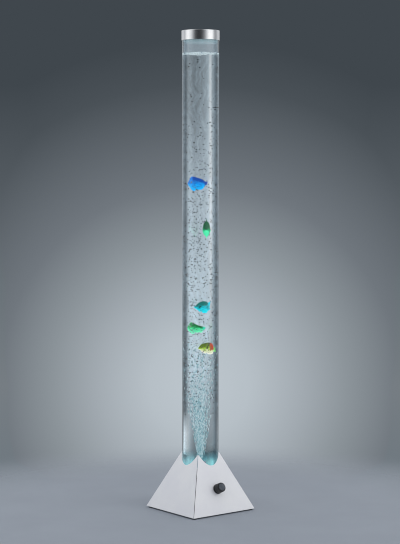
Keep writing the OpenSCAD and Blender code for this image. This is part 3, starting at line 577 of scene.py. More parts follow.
def veil(tree, high):
    return ramp(tree, spread(tree, high, 0.1, 1.15), [
        (0.0, (120, 180, 182)), (0.017, (108, 170, 174)), (0.023, (62, 116, 126)),
        (0.031, (18, 44, 52)), (0.06, (26, 40, 46)), (0.12, (44, 55, 61)), (0.25, (93, 111, 118)),
        (0.36, (106, 120, 126)), (0.6, (93, 102, 109)), (0.85, (86, 97, 104)), (1.0, (82, 95, 102))])


def mist(tree, raised, side):
    """Painted light of the ring on the far wall near the foot: a teal glow with a dark band above it,
    paler on the left.
    """
    tint = ramp(tree, spread(tree, raised, 0.1, 0.2), [
        (0.0, (150, 206, 208)), (0.2, (144, 200, 204)), (0.28, (84, 136, 148)),
        (0.42, (58, 84, 94)), (0.6, (232, 240, 242)), (1.0, (250, 252, 253))])
    return blend_colours(tree, spread(tree, side, 0.0, -0.02), tint, colour(176, 214, 220), "LIGHTEN")


def water():
    tree, shader = new_finish("water")
    place = object_place(tree)
    high = put(tree, "SeparateXYZ", {0: place}).outputs[2]
    side = dot(tree, place, tuple(across))
    # Painted light: the glow near the foot reaches higher on the viewer's right, by the camera's side.
    raised = plus(tree, high, spread(tree, side, -0.03, 0.02, 0.016, 0.0, smooth=True))
    far = put(tree, "NewGeometry").outputs["Backfacing"]
    # Painted light: the near wall tints what is seen through it aqua near the foot, for the ring's light.
    near_glow_tint = ramp(tree, spread(tree, high, 0.1, 0.2), [
        (0.0, (206, 236, 238)), (0.4, (216, 235, 239)), (0.62, (240, 246, 247)), (1.0, (250, 252, 253))])
    far_glow_tint = mist(tree, raised, side)
    haze = spread(tree, raised, 0.156, 0.126, 0.0, 0.85, smooth=True)
    clearness = maths(tree, "POWER", minus(tree, 1.0, haze), 2.0)
    dimmed = blend_colours(tree, 1.0, far_glow_tint, clearness, "MULTIPLY")
    glow = blend_colours(tree, 1.0, veil(tree, high), streaks(tree, place), "MULTIPLY")
    lit_haze = blend_colours(tree, times(tree, haze, 0.78), BLACK, far_glow_tint)
    lit = blend_colours(tree, 1.0, glow, lit_haze, "ADD")
    set_sockets(tree, shader, {
        "Base Color": blend_colours(tree, far, near_glow_tint, dimmed),
        "Emission Color": blend_colours(tree, far, BLACK, lit), "Emission Strength": 1.0,
        "Roughness": 0.0, "IOR": 1.333, "Specular IOR Level": 0.06, "Transmission Weight": 1.0})
    mix_with_clear(tree, shader, lamp_rays(tree))


water()

# %% [markdown]
# ## Film of drops and milky lid
# Over the water a thin film of foam and drops clings to the bore: mostly clear, with streaks
# that run down. Drops could be modelled one by one, but they are smaller than a pixel here.
# The lid is milky plastic, half clear. Its aqua tint and a little glow are painted light of the ring
# below.

# %% Film and lid
def wet_film():
    tree, shader = new_finish("wet_film")
    drops = noise(tree, stretched(tree, object_place(tree), (300.0, 300.0, 60.0)), 1.0, 3.0)
    set_sockets(tree, shader, {"Base Color": colour(150, 164, 172), "Roughness": 0.5})
    bare = spread(tree, drops, 0.3, 0.7, 0.72, 0.6)
    mix_with_clear(tree, shader, maths(tree, "MAXIMUM", bare, lamp_rays(tree)))


def lid_acrylic():
    tree, shader = new_finish("lid_acrylic")
    skin = use_group(tree, grain, Stretch=(700, 700, 700), Low=0.1, High=0.14)
    # The aqua colour and the glow are painted light of the ring below.
    set_sockets(tree, shader, {
        "Base Color": mottled(tree, (176, 204, 208), (160, 192, 198), 60),
        "Roughness": skin["Roughness"], "Transmission Weight": 0.55, "IOR": 1.49,
        "Emission Color": colour(100, 142, 148), "Emission Strength": 0.2})
    mix_with_clear(tree, shader, lamp_rays(tree))


wet_film()
lid_acrylic()

# %% [markdown]
# ## Emitters
# Twelve emitters under the tube shine a cool aqua. Their dome is mottled like any moulding, and
# the same mottle colours their light. Twelve real lamps in the scene would slow it down, and
# the tube's glow is already in its water.

# %% Emitter finish
def emitter():
    tree, shader = new_finish("emitter")
    shade = mottled(tree, (235, 250, 252), (205, 238, 244), 300)
    set_sockets(tree, shader, {"Base Color": shade, "Emission Color": shade, "Emission Strength": 3.0})


emitter()

# %% [markdown]
# ## Painted fish
# The fish are moulded plastic with a sprayed coat: dark along the back, bright on the belly,
# and a paler tail. The pattern coordinates run from the nose to the tail (U) and from the belly
# (-1) to the back (1), so a colour ramp over V gives the shading of every fish, and its
# borders are stirred with noise. Scales and fin rays are pressed in: as bumps they cost
# nothing, while real ones would need a thousand times the points.

# %% Fish finishes
def fish_relief(tree, along, up):
    """Scales on the body and rays on the fins. Gives the height and the edges of the scales."""
    scaled = put(tree, "CombineXYZ", {0: times(tree, along, 30.0), 1: times(tree, up, 7.0)}).outputs[0]
    sockets = {"Vector": scaled, "Scale": 1.0, "Randomness": 0.35}
    cells = put(tree, "TexVoronoi", sockets).outputs["Distance"]
    flat = spread(tree, maths(tree, "ABSOLUTE", up), 1.05, 0.9)
    on_body = times(tree, spread(tree, along, 0.2, 0.26), flat)
    rays = maths(tree, "SINE", times(tree, along, 330.0))
    on_fins = times(tree, minus(tree, 1.0, on_body), 0.15)
    height = plus(tree, times(tree, cells, times(tree, on_body, -1.0)), times(tree, rays, on_fins))
    return height, times(tree, spread(tree, cells, 0.35, 0.6), times(tree, on_body, 0.3))


def fish_coat(name, belly, flank, back, tail, split, patch=None, bars=None, nose=None, mark=None):
    """Colours over V from belly to back, where split is the place of the back's colour, and then
    layers over them. A mark is a dark spot, by its place U, V and its reach along both."""
    tree, shader = new_finish(name)
    along, up, _ = pattern_place(tree)
    place = object_place(tree)
    stir = noise(tree, place, 260.0, 4.0)
    level = plus(tree, up, times(tree, minus(tree, stir, 0.5), 1.2))
    low_flank = [(b * 2 + f) // 3 for b, f in zip(belly, flank)]
    height, scale_edges = fish_relief(tree, along, up)
    layers = []
    if nose:
        above = spread(tree, level, 0.1, 0.4, smooth=True)
        layers.append((nose, spread(tree, along, 0.3, 0.2, smooth=True), above))
    if bars:
        slant = plus(tree, times(tree, along, 30.0), times(tree, level, -3.2))
        bar = spread(tree, maths(tree, "SINE", slant), 0.2, 0.7, smooth=True)
        layers.append((bars, bar, spread(tree, level, -0.6, -0.2), spread(tree, along, 0.3, 0.4)))
    if patch:
        above = spread(tree, level, -0.62, -0.3, smooth=True)
        layers.append((patch, spread(tree, along, 0.59, 0.66, smooth=True), above))
    layers.append((tail, spread(tree, along, 0.8, 0.88, smooth=True)))
    layers.append((back, scale_edges))
    spots = spread(tree, noise(tree, place, 380.0, 2.0), 0.5, 0.6, 0.0, 0.6)
    layers.append((back, spots, spread(tree, level, -0.9, -0.4)))
    if mark:
        u, v, reach_u, reach_v = mark
        off_u = times(tree, minus(tree, along, u), 1 / reach_u)
        off_v = times(tree, minus(tree, up, v), 1 / reach_v)
        away = maths(tree, "SQRT", plus(tree, times(tree, off_u, off_u), times(tree, off_v, off_v)))
        layers.append(([c // 3 for c in back], spread(tree, away, 1.1, 0.7)))
    skin = ramp(tree, spread(tree, level, -1.2, 1.2), [
        (0.1, belly), (0.3, low_flank), (split - 0.13, flank), (split + 0.1, back)])
    for shade, *shares in layers:
        skin = blend_colours(tree, times(tree, *shares), skin, colour(*shade))
    # The weak glow in the fish's own colours is painted light: the ring's light on the fish.
    set_sockets(tree, shader, {
        "Base Color": skin, "Emission Color": skin, "Emission Strength": 0.2,
        "Normal": relief(tree, height, 0.5, 0.4),
        "Roughness": spread(tree, stir, 0.3, 0.7, 0.34, 0.46), "Specular IOR Level": 0.0})


# Belly, flank, back, tail, where the back begins, and what else is painted on
COATS = {
    "fish_blue": ((0, 186, 255), (0, 144, 232), (0, 68, 156), (0, 60, 150), 0.68,
                  {"nose": (0, 126, 220)}),
    "fish_green": ((80, 250, 184), (10, 168, 102), (0, 84, 48), (30, 220, 150), 0.58, {}),
    "fish_cyan": ((0, 240, 255), (0, 206, 226), (0, 106, 98), (20, 220, 246), 0.64,
                  {"mark": (0.38, 0.0, 0.09, 0.3)}),
    "fish_mint": ((120, 255, 200), (60, 232, 150), (0, 108, 46), (60, 222, 186), 0.62,
                  {"nose": (20, 160, 80)}),
    "fish_gold": ((255, 252, 230), (166, 208, 44), (84, 110, 10), (150, 246, 140), 0.62,
                  {"patch": (198, 18, 8), "bars": (22, 24, 6)}),
}
for name, (*shades, more) in COATS.items():
    fish_coat(name, *shades, **more)


# %% Fish eyes
def fish_eye():
    """Rings by the distance from the eye's middle, which is in V: pupil, iris and lid."""
    tree, shader = new_finish("fish_eye")
    rings = ramp(tree, pattern_place(tree)[1], [
        (0.0, (8, 12, 20)), (0.56, (10, 16, 26)), (0.64, (196, 190, 150)), (0.84, (150, 160, 140)),
        (0.94, (20, 40, 50))])
    set_sockets(tree, shader, {"Base Color": rings, "Roughness": 0.12, "Coat Weight": 0.6})


fish_eye()

# %% [markdown]
# ## Bubbles
# Seen through water, a bubble is a dark ring with a clear middle, because its rim turns
# light away. Small ones look like dark specks. Where the stream is dense, the bubbles
# carry the light of the ring below, and look like pale strands. Balls of air in the water
# would bend light just so, but at this size they give mostly grain, so each kind of bubble is
# a skin with its own rim and middle.

# %% Bubble finishes
def bubble_skin(name, rim, middle, solidness, glow, strength):
    """solidness is how much of the bubble's middle can be seen; its rim always shows."""
    tree, shader = new_finish(name)
    facing = facing_away(tree)
    set_sockets(tree, shader, {
        "Base Color": ramp(tree, facing, [(0.1, middle), (0.55, rim)]), "Roughness": 0.1,
        "Emission Color": colour(*glow), "Emission Strength": strength})
    through = spread(tree, facing, 0.0, 0.5, 1.0 - solidness, 0.0)
    mix_with_clear(tree, shader, maths(tree, "MAXIMUM", through, lamp_rays(tree)))


bubble_skin("dark_bubble", (6, 10, 16), (20, 28, 36), 1.0, (0, 0, 0), 0.0)
bubble_skin("faint_bubble", (104, 118, 128), (150, 160, 168), 0.5, (0, 0, 0), 0.0)
# The glow of the pale, foam and teal bubbles is painted light: the ring's light in the stream, and on the
# foam the bright line of light reflected at the water's edge.
bubble_skin("pale_bubble", (172, 200, 206), (206, 222, 226), 0.85, (110, 140, 148), 0.3)
bubble_skin("foam_bubble", (150, 168, 172), (206, 216, 218), 0.8, (140, 154, 158), 0.45)
bubble_skin("teal_bubble", (84, 128, 138), (130, 178, 186), 0.8, (60, 104, 112), 0.4)

# %% [markdown]
# ## The folded base
# Each half of the base is one sheet with a fold down its middle ridge and a flange turned in
# below. A fold in sheet is never sharp: it bends with a small radius. So the outline at each
# height is a corner with a rounded tip, and the profile from the flange to the top edge
# turns through a small bend too. The top edge is where the tilted faces meet the round hole.
# A bare surface with a Solidify modifier would be shorter, but its edges would stand square to
# the sheet and leave a gap at the seams. So both sides of the sheet are worked out and joined,
# with the seam edges in the seam plane.

# %% Outline of one half at one level
FOLD_R = 1.5
HEM_R = 1.0
LEAST_R = 0.4
HOLE_R = TUBE_R + 0.6
ABOVE_HOLE = 150.0
FLANGE_ROWS, BEND_ROWS, FACE_ROWS, HALVINGS = 7, 9, 46, 40


def fold_line(u, half, radius):
    """Outline of one half at one level, u from 0 to 1. It runs along one face, round a corner
    of the given radius, and along the other face. It starts and ends on the seam plane, half
    the gap away from the diagonal x = y."""
    gap = SEAM_GAP / 2 * math.sqrt(2)
    straight = 2 * half - gap - radius
    bow = radius * np.pi / 2
    s = u * (2 * straight + bow)
    turn = np.clip((s - straight) / np.maximum(bow, 1e-9), 0, 1) * np.pi / 2
    x = np.where(s < straight, gap - half + s, half - radius + radius * np.sin(turn))
    y = np.where(s < straight, -half, -half + radius - radius * np.cos(turn))
    past = np.maximum(s - straight - bow, 0)
    return x, y + past


print("the outline is", round(2 * fold_line(np.array(1.0), BASE_HALF, FOLD_R)[0].item(), 1), "mm wide")


# %% Both sides of the sheet
def hem_rows(depth, side):
    """How far in and how high the sheet runs from the flange's edge round the hem bend."""
    if depth == 0:
        bend = np.linspace(0, np.pi / 2 + LEAN, BEND_ROWS)[1:]
        reach = HEM_R * math.tan(bend[-1] / 2)
        flat = np.linspace(FLANGE_W, reach, FLANGE_ROWS)
        rise = np.concatenate([np.zeros(FLANGE_ROWS), HEM_R * (1 - np.cos(bend))])
        return np.concatenate([flat, reach - HEM_R * np.sin(bend)]), FOOT_H + rise
    climb = depth + np.linspace(0, 1.6, BEND_ROWS)
    inset = side + BASE_HALF * climb / SHELL_RISE
    flat = np.linspace(FLANGE_W, inset[0], FLANGE_ROWS)
    return np.concatenate([flat, inset[1:]]), FOOT_H + np.concatenate([0 * flat + depth, climb[1:]])


def sheet_surface(u, depth):
    """Points of the sheet's outer side (depth 0) or inner side. Each row climbs the flange, the
    hem bend and the faces, and ends in equal steps where the outline meets the hole."""
    side = depth / math.cos(LEAN)
    inset, level = hem_rows(depth, side)
    radius = np.clip(FOLD_R - inset, LEAST_R, FOLD_R)[None, :]
    hem_x, hem_y = fold_line(u, BASE_HALF - inset[None, :], radius)
    hem_z = np.broadcast_to(level[None, :], hem_x.shape)

    def outline(z):
        half = BASE_HALF * (1 - (z - FOOT_H) / SHELL_RISE) - side
        return fold_line(u, half, max(FOLD_R - depth, LEAST_R))

    start = np.full(u.shape, level[-1])
    low, high = start, np.full(u.shape, ABOVE_HOLE)
    for _ in range(HALVINGS):
        middle = (low + high) / 2
        outside = np.hypot(*outline(middle)) > HOLE_R
        low, high = np.where(outside, middle, low), np.where(outside, high, middle)
    z = start + (low - start) * np.linspace(0, 1, FACE_ROWS)[None, 1:] ** 0.9
    x, y = outline(z)
    hem_and_face = [np.concatenate(pair, 1) for pair in ((hem_x, x), (hem_y, y), (hem_z, z))]
    return np.stack(hem_and_face, -1)


# %% Shell halves
def shell_sheet(name, quarter_turns):
    """The closed sheet: the outer side, the inner side back again, and both seam edges, which
    lie in the seam plane. Rows of points lie closer together at the fold."""
    spans = ((0, 0.485, 70), (0.487, 0.513, 15), (0.515, 1, 70))
    u = np.concatenate([np.linspace(*span) for span in spans])[:, None]
    points = np.concatenate([sheet_surface(u, 0), sheet_surface(u, SHEET_T)[:, ::-1]], 1)
    rows, columns = points.shape[:2]
    j = np.arange(columns // 2 - 1)
    edge = np.stack([j, j + 1, columns - 2 - j, columns - 1 - j], 1)
    last_edge = edge[:, ::-1] + (rows - 1) * columns
    faces = np.concatenate([grid_faces(rows, columns, False, True), edge, last_edge])
    sheet = part(points, faces, points_at(u, points[..., 2] / 100))
    placed = moved(sheet, turn_about("Z", math.radians(90 * quarter_turns)))
    piece = make_piece(name + "_sheet", [placed], "base", name, "shell_coat", sharp=50)
    rounding = piece.modifiers.new("soft cut edges", "BEVEL")
    rounding.width, rounding.segments = 0.4 * MM, 3
    rounding.limit_method, rounding.angle_limit = "ANGLE", math.radians(40)


shell_sheet("shell_right", 0)
shell_sheet("shell_left", 2)

# %% [markdown]
# ## Turned pieces: cap, lid, tube and water
# A lathe part is a profile carried round an axis. The corners of each profile are rounded
# first, because a real edge always catches a thin line of light. A Bevel modifier would round
# them too, but here each corner gets a radius of its own.
# The water is a solid column that touches the wall, because light has to pass from acrylic
# straight into water. Its rim climbs the wall a little, as water does.

# %% Cap, lid and tube
CAP_R, CAP_H, CAP_WALL, CAP_T = 47.5, 24.0, 1.1, 2.0
LID_R, LID_WALL, LID_DEPTH, VENT_R = 42.6, 5.0, 27.0, 2.5
HAIR = 0.02
cap_low, cap_under = LAMP_H - CAP_H, LAMP_H - CAP_T
cap_profile = round_corners([
    (0, cap_under), (CAP_R - CAP_WALL, cap_under), (CAP_R - CAP_WALL, cap_low), (CAP_R, cap_low),
    (CAP_R, LAMP_H), (0, LAMP_H)], [0, 0.4, 0.35, 0.35, 1.3, 0], loop=False)
make_piece("cap_turned", [turned(cap_profile, False)], "lid", "cap_shell", "cap_metal")

lid_low, lid_top = TUBE_TOP - LID_DEPTH, cap_under - HAIR
lid_profile = round_corners([
    (VENT_R, lid_low), (LID_R, lid_low), (LID_R, lid_top - 2), (TUBE_R, lid_top - 2),
    (TUBE_R, lid_top), (LID_R - LID_WALL, lid_top), (LID_R - LID_WALL, lid_low + 3),
    (VENT_R, lid_low + 3)], [0.4, 1.2, 0.3, 0.5, 0.5, 0.5, 1.0, 0.4])
make_piece("lid_cup", [turned(lid_profile)], "lid", "lid_plug", "lid_acrylic")

wall_corners = [(BORE_R, TUBE_Z), (TUBE_R, TUBE_Z), (TUBE_R, TUBE_TOP), (BORE_R, TUBE_TOP)]
tube_profile = round_corners(wall_corners, 0.35)
make_piece("clear_tube", [turned(tube_profile, segments=256)], "base", "tube", "tube_acrylic")

# %% Film and water column
# Drops and a film of foam cling to the bore between the water and the lid.
FILM_IN, FILM_OUT = 42.72, 42.94
film_low, film_top = WATER_TOP + 1, TUBE_TOP - 3
film_profile = round_corners([
    (FILM_IN, film_low), (FILM_OUT, film_low), (FILM_OUT, film_top), (FILM_IN, film_top)], 0.05)
make_piece("splash_film", [turned(film_profile, segments=256)], "base", looks=["wet_film"])

# The water reaches a hair into the wall, so that no film of air is left between them.
MENISCUS_W, MENISCUS_H = 6, 2.2
water_r = BORE_R + HAIR
climb = np.linspace(0, 1, 9)
meniscus = points_at(
    water_r - MENISCUS_W + MENISCUS_W * climb, WATER_TOP + MENISCUS_H * climb ** 3)
water_profile = np.concatenate([
    [(0, FLOOR_TOP + HAIR), (water_r - 0.4, FLOOR_TOP + HAIR), (water_r, FLOOR_TOP + 0.6)],
    points_at(water_r, np.linspace(FLOOR_TOP + 30, WATER_TOP - 40, 12)),
    meniscus[::-1], [(0, WATER_TOP)]])
make_piece("water_column", [turned(water_profile, False, segments=256)], "base", looks=["water"])

# %% [markdown]
# ## Fish bodies
# A fish is a loft: rings along its length, each an oval whose height and thickness come from
# two outlines. A groove for the mouth and one behind the gills are pushed into it. Fins are
# thin closed blades between a root line and a tip line, thicker at their rays, with a
# scalloped edge. Each fish rides on its own body, so it moves as one with its fins and eyes.
# A box with Subdivision Surface could be pulled into a fish by hand. The loft is chosen
# because it follows the fish's outline from the side, whatever its length.

# %% Fish outlines
# Reach above and below the middle line, as shares of the fish's height, by place along it
OUTLINES = {
    "blunt": (
        [(0, 0.06), (0.06, 0.19), (0.12, 0.39), (0.23, 0.5), (0.38, 0.45), (0.55, 0.38), (0.7, 0.3),
         (0.86, 0.19), (1, 0.14)],
        [(0, 0.05), (0.08, 0.2), (0.15, 0.35), (0.29, 0.5), (0.4, 0.45), (0.52, 0.39), (0.69, 0.4),
         (0.8, 0.25), (0.9, 0.1), (1, 0.02)]),
    "long": (
        [(0, 0.05), (0.02, 0.16), (0.09, 0.37), (0.2, 0.5), (0.31, 0.46), (0.43, 0.35), (0.6, 0.22),
         (0.77, 0.16), (0.9, 0.16), (1, 0.09)],
        [(0, 0.05), (0.02, 0.11), (0.07, 0.34), (0.18, 0.45), (0.31, 0.5), (0.47, 0.42), (0.64, 0.35),
         (0.77, 0.4), (0.88, 0.28), (0.94, 0.11), (1, 0.03)]),
    "wedge": (
        [(0, 0.02), (0.11, 0.14), (0.23, 0.31), (0.36, 0.43), (0.55, 0.49), (0.73, 0.46), (0.89, 0.44),
         (1, 0.47)],
        [(0, 0.08), (0.11, 0.15), (0.23, 0.25), (0.32, 0.39), (0.48, 0.47), (0.64, 0.5), (0.77, 0.47),
         (0.89, 0.34), (1, 0.26)]),
    "oval": (
        [(0, 0.04), (0.08, 0.26), (0.2, 0.44), (0.38, 0.54), (0.58, 0.52), (0.74, 0.36), (0.84, 0.12),
         (0.92, 0.14), (1, 0.2)],
        [(0, 0.08), (0.1, 0.24), (0.22, 0.36), (0.4, 0.45), (0.6, 0.46), (0.76, 0.34), (0.84, 0.18),
         (0.92, 0.22), (1, 0.26)]),
    "drop": (
        [(0, 0.03), (0.06, 0.22), (0.16, 0.37), (0.31, 0.45), (0.52, 0.5), (0.66, 0.47), (0.78, 0.35),
         (0.84, 0.15), (0.88, 0.05), (1, 0.03)],
        [(0, 0.05), (0.1, 0.17), (0.2, 0.29), (0.33, 0.42), (0.48, 0.47), (0.64, 0.5), (0.76, 0.45),
         (0.85, 0.34), (0.92, 0.39), (1, 0.31)]),
}
OUTLINES = {kind: (np.array(top), np.array(low)) for kind, (top, low) in OUTLINES.items()}
THICK = np.array([(0, 0.14), (0.05, 0.5), (0.14, 0.85), (0.28, 1), (0.45, 0.94), (0.6, 0.7),
                  (0.74, 0.36), (0.84, 0.14), (1, 0.08)])
BODY_SHARE, ROOT_SHARE = 0.78, 0.9
TAIL_AT, BODY_END = 0.84, 0.88
MOUTH_DEPTH, MOUTH_END = 0.45, 0.13
GILL_DEPTH, GILL_AT = 0.16, 0.27


def soft_curve(table, t, width=0.035):
    """The mean of the outline's straight pieces over t - width to t + width."""
    shifts = np.linspace(-width, width, 9)
    return np.mean([np.interp(t + d, table[:, 0], table[:, 1]) for d in shifts], axis=0)


print("outlines:", {kind: len(top) + len(low) for kind, (top, low) in OUTLINES.items()}, "points")


# %% Body and eyes
def fish_body(length, tall, thick, top, low):
    """x = length (t - 1/2), y = thick / 2 w(t) cos a, z = tall share(t) sin a, less two grooves."""
    nose_rows, tail_rows = [0.0, 0.002, 0.006, 0.012, 0.02], [TAIL_AT + 0.03, TAIL_AT + 0.036, BODY_END]
    t = np.concatenate([nose_rows, np.linspace(0.03, TAIL_AT + 0.02, 64), tail_rows])[:, None]
    a = full_turn(48)
    ends = np.sqrt(np.clip(t / 0.02, 0, 1)) * np.sqrt(np.clip((BODY_END - t) / 0.03, 0, 1))
    share = np.where(np.sin(a) > 0, soft_curve(top, t), soft_curve(low, t))
    high = tall * BODY_SHARE * ends * share
    wide = thick / 2 * soft_curve(THICK, t) * ends
    mouth_line = np.exp(-((np.sin(a) + 0.12) / 0.09) ** 2)
    mouth = MOUTH_DEPTH * mouth_line * np.clip((MOUTH_END - t) / 0.05, 0, 1)
    gill_at = GILL_AT + 0.035 * np.cos(a * 2)
    gill = GILL_DEPTH * np.exp(-((t - gill_at) / 0.012) ** 2) * (np.abs(np.sin(a)) < 0.8)
    y = wide * np.sign(np.cos(a)) * np.abs(np.cos(a)) ** 0.9 * (1 - mouth - gill)
    points = points_at(length * (t - 0.5), y, high * np.sin(a))
    return part(points, grid_faces(*points.shape[:2], False, True), points_at(t, np.sin(a)))


def fish_eyes(length, tall, thick, top, low):
    """Two turned domes, pushed into the head with their axes across it."""
    radius, at, lift = 0.05 * length, 0.19, 0.3
    high = tall * BODY_SHARE * soft_curve(top, np.array([at]))[0]
    wide = thick / 2 * soft_curve(THICK, np.array([at]))[0]
    dome = np.array([(0, 0.62), (0.35, 0.56), (0.6, 0.42), (0.82, 0.2), (0.95, 0), (1.0, -0.15),
                     (1.0, -0.8), (0, -0.8)])
    points, faces, uv, _ = turned(dome * radius, False, 28)
    uv = points_at(uv[:, 0], np.hypot(points[:, 0], points[:, 1]) / radius)
    eyes = []
    for side in (1, -1):
        place = shift(length * (at - 0.5), side * wide * 0.86, high * lift)
        turn = turn_about("X", -side * math.pi / 2 * 0.94)
        eyes.append(moved((points, faces, uv, 1), place @ turn))
    return eyes


# %% A blade for every fin
def blade(root, tip, uv_root, uv_tip, thick, rays, scallop):
    """A closed fin. Across it v runs from root to tip on one side and back on the other. Its
    half thickness is thick (1 - 0.7 v) sqrt(sin(pi s)) along s, and the tip dips between rays."""
    rows = 8
    s = np.linspace(0, 1, len(root))[:, None, None]
    v = np.concatenate([np.linspace(0, 1, rows), np.linspace(1, 0, rows)])[None, :, None]
    side = np.concatenate([np.ones(rows), -np.ones(rows)])[None, :, None]
    ray = np.abs(np.sin(np.pi * rays * s))
    reach = v * (1 - scallop * (1 - ray) * v)
    root, tip = root[:, None, :], tip[:, None, :]
    half = thick * (1 - 0.7 * v) * np.sqrt(np.clip(np.sin(np.pi * s), 0, 1)) * (0.7 + 0.3 * ray)
    points = root + (tip - root) * reach + side * half * np.array((0.0, 1.0, 0.0))
    uv = uv_root[:, None, :] + (uv_tip - uv_root)[:, None, :] * v
    return part(points, grid_faces(*points.shape[:2], False, True), uv)


# %% Fins of a fish
def long_fin(length, tall, thick, outline, sign, first, last, rays):
    """A fin along the back (sign 1) or the belly (-1), from place first to place last."""
    s = np.linspace(0, 1, 80)
    t = first + (last - first) * s
    full = tall * soft_curve(outline, t, 0.02)
    root_z = full * BODY_SHARE * ROOT_SHARE
    tip_z = root_z + (full - root_z) * np.clip(np.sin(np.pi * s) * 4, 0, 1)
    root = points_at(length * (t - 0.5), 0, sign * root_z)
    tip = points_at(length * (t - 0.5 + 0.02 * np.sin(np.pi * s)), 0, sign * tip_z)
    uv_root, uv_tip = points_at(t, sign * 0.85), points_at(t, sign * 1.15)
    return blade(root, tip, uv_root, uv_tip, 0.06 * thick, rays, 0.3)


def tail_fin(length, tall, thick, top, low):
    """A fan whose root is the body's end, with its tip a shallow hollow curve."""
    w = 2 * np.linspace(0, 1, 80) - 1

    def reach(t):
        above, below = [soft_curve(outline, np.array([t]), 0.01)[0] for outline in (top, low)]
        return tall * np.where(w > 0, above, below)

    root = points_at(length * (TAIL_AT - 0.53), 0, w * reach(TAIL_AT) * BODY_SHARE * ROOT_SHARE)
    tip = points_at(length * (0.5 - 0.05 * np.cos(np.pi * w / 2) ** 2), 0, w * reach(1.0))
    return blade(root, tip, points_at(0.78, w * 0.3), points_at(1.0, w), 0.06 * thick, 11, 0.12)


def side_fin(length, tall, thick, side):
    """A small fin behind the gills that slants down and out."""
    s = np.linspace(0, 1, 30)
    reach = 0.2 * length * np.sin(np.pi * s) ** 0.5
    root = points_at(length * (0.34 + 0.02 * s - 0.5), side * thick * 0.44, tall * (0.02 - 0.08 * s))
    tip = root + points_at(reach * 0.9, side * reach * 0.14, -reach * (0.1 + 0.5 * s))
    uv_root, uv_tip = points_at(0 * s + 0.5, -0.3), points_at(0 * s + 0.7, -0.9)
    return blade(root, tip, uv_root, uv_tip, 0.03 * thick, 5, 0.08)


def fish_fins(length, tall, thick, top, low):
    size = (length, tall, thick)
    fins = [long_fin(*size, top, 1, 0.08, TAIL_AT - 0.02, 13),
            long_fin(*size, low, -1, 0.14, 0.42, 6),
            long_fin(*size, low, -1, 0.46, TAIL_AT - 0.02, 7)]
    return fins + [tail_fin(*size, top, low), side_fin(*size, 1), side_fin(*size, -1)]


# %% Five fish
# Length, height, thickness, outline, place to the viewer's right, towards the viewer and up, turn
# on the spot, and how far the fish sinks and rises
FISH = {
    "fish_blue": (45, 38, 12, "blunt", -6.3, 20, 821, 0, -35, 290),
    "fish_green": (40, 48, 15, "oval", 11.7, 0, 707, 90, -73, 29),
    "fish_cyan": (33, 31, 11, "wedge", 3.6, 6, 513, 0, -360, 78),
    "fish_mint": (33, 30, 11, "long", -7, -8, 459, 0, -300, 130),
    "fish_gold": (41, 31, 11, "drop", 15.8, 19, 410, 0, -250, 180),
}
for name, (length, tall, thick, kind, side, near, up, turn, _, _) in FISH.items():
    facing = turn_about("Z", math.radians(turn))
    swim = turn_about("Z", -CAMERA_TURN) @ shift(side, -near, up) @ facing
    shape = (length, tall, thick, *OUTLINES[kind])
    parts = [fish_body(*shape)] + fish_fins(*shape) + fish_eyes(*shape)
    placed = [moved(p, swim) for p in parts]
    make_piece(name + "_fish", placed, name, name, name, [name, "fish_eye"], sharp=60, weld=1e-3)

# %% [markdown]
# ## Bubbles in the water
# One small ball is repeated many hundred times, so it has only a few dozen faces. Each copy is
# stretched, leaned and set in place with arrays. The lanes in which the fish swim are left
# free, so that no bubble sits in a fish, wherever the fish is. A particle system could fill
# the tube as well, but it knows nothing of the lanes.

# %% Scattering helpers
BUBBLE_R = 41.0


def small_ball(sides, rings=6):
    """Points (sin t cos a, sin t sin a, cos t) of a ball of radius 1, and its faces."""
    turn = np.linspace(0, np.pi, rings + 1)[:, None]
    a = full_turn(sides)
    points = points_at(np.sin(turn) * np.cos(a), np.sin(turn) * np.sin(a), np.cos(turn))
    return points.reshape(-1, 3), grid_faces(rings + 1, sides, False, True)


def scatter(centres, sizes, lean=None, sides=8, look=0):
    """Copies of the ball: centre + size * p, with x and y shifted by lean * z so that a long
    copy follows its path."""
    ball, faces = small_ball(sides)
    grown = ball[None, :, :] * sizes[:, None, :]
    if lean is not None:
        grown[:, :, :2] += lean[:, None, :] * grown[:, :, 2:]
    first = np.arange(len(centres))[:, None, None] * len(ball)
    return part(centres[:, None, :] + grown, (faces[None] + first).reshape(-1, 4), None, look)


def make_bubbles(name, parts, *looks):
    make_piece(name, parts, "base", looks=looks, weld=1e-4, sharp=180)


def viewer_place(side, near, up):
    """From the photo's view (right, near, up) to the frame's x, y, z."""
    c, s = math.cos(-CAMERA_TURN), math.sin(-CAMERA_TURN)
    return np.stack([side * c + near * s, side * s - near * c, up], -1)


def outside_lanes(side, near, up, room=2.4, travel=1.0):
    """True where a bubble stays clear of all that each fish passes, or with travel 0 of the
    fish at rest."""
    free = np.ones(len(up), bool)
    for length, tall, thick, kind, x, y, z, turn, sink, rise in FISH.values():
        long, wide = (length, thick) if turn == 0 else (thick, length)
        high, deep = [tall * outline[:, 1].max() for outline in OUTLINES[kind]]
        inside = (np.abs(side - x) < long / 2 + room) & (np.abs(near - y) < wide / 2 + room)
        above_low = up > z + sink * travel - deep - room
        free &= ~(inside & above_low & (up < z + rise * travel + high + room))
    return free


print("one ball has", len(small_ball(8)[1]), "faces")

# %% Loose bubbles
# Two steps that never fall in with each other spread the bubbles evenly, and a little chance
# hides the pattern. They are few beside the stream, dense over it, and thin out upwards.
TRIES, KEPT = 5600, 1900
STEP_ASIDE, STEP_UP = 0.7548776662, 0.5698402910
LOOSE_LOW, LOOSE_H, LOOSE_HALF = 235, 901, 40.5
DENSITY_AT = [235, 300, 420, 620, 800, 960, 1040, 1136]
DENSITY = [0.25, 0.75, 1.0, 0.9, 0.6, 0.4, 0.14, 0.1]
DARK_SHARE = 0.55

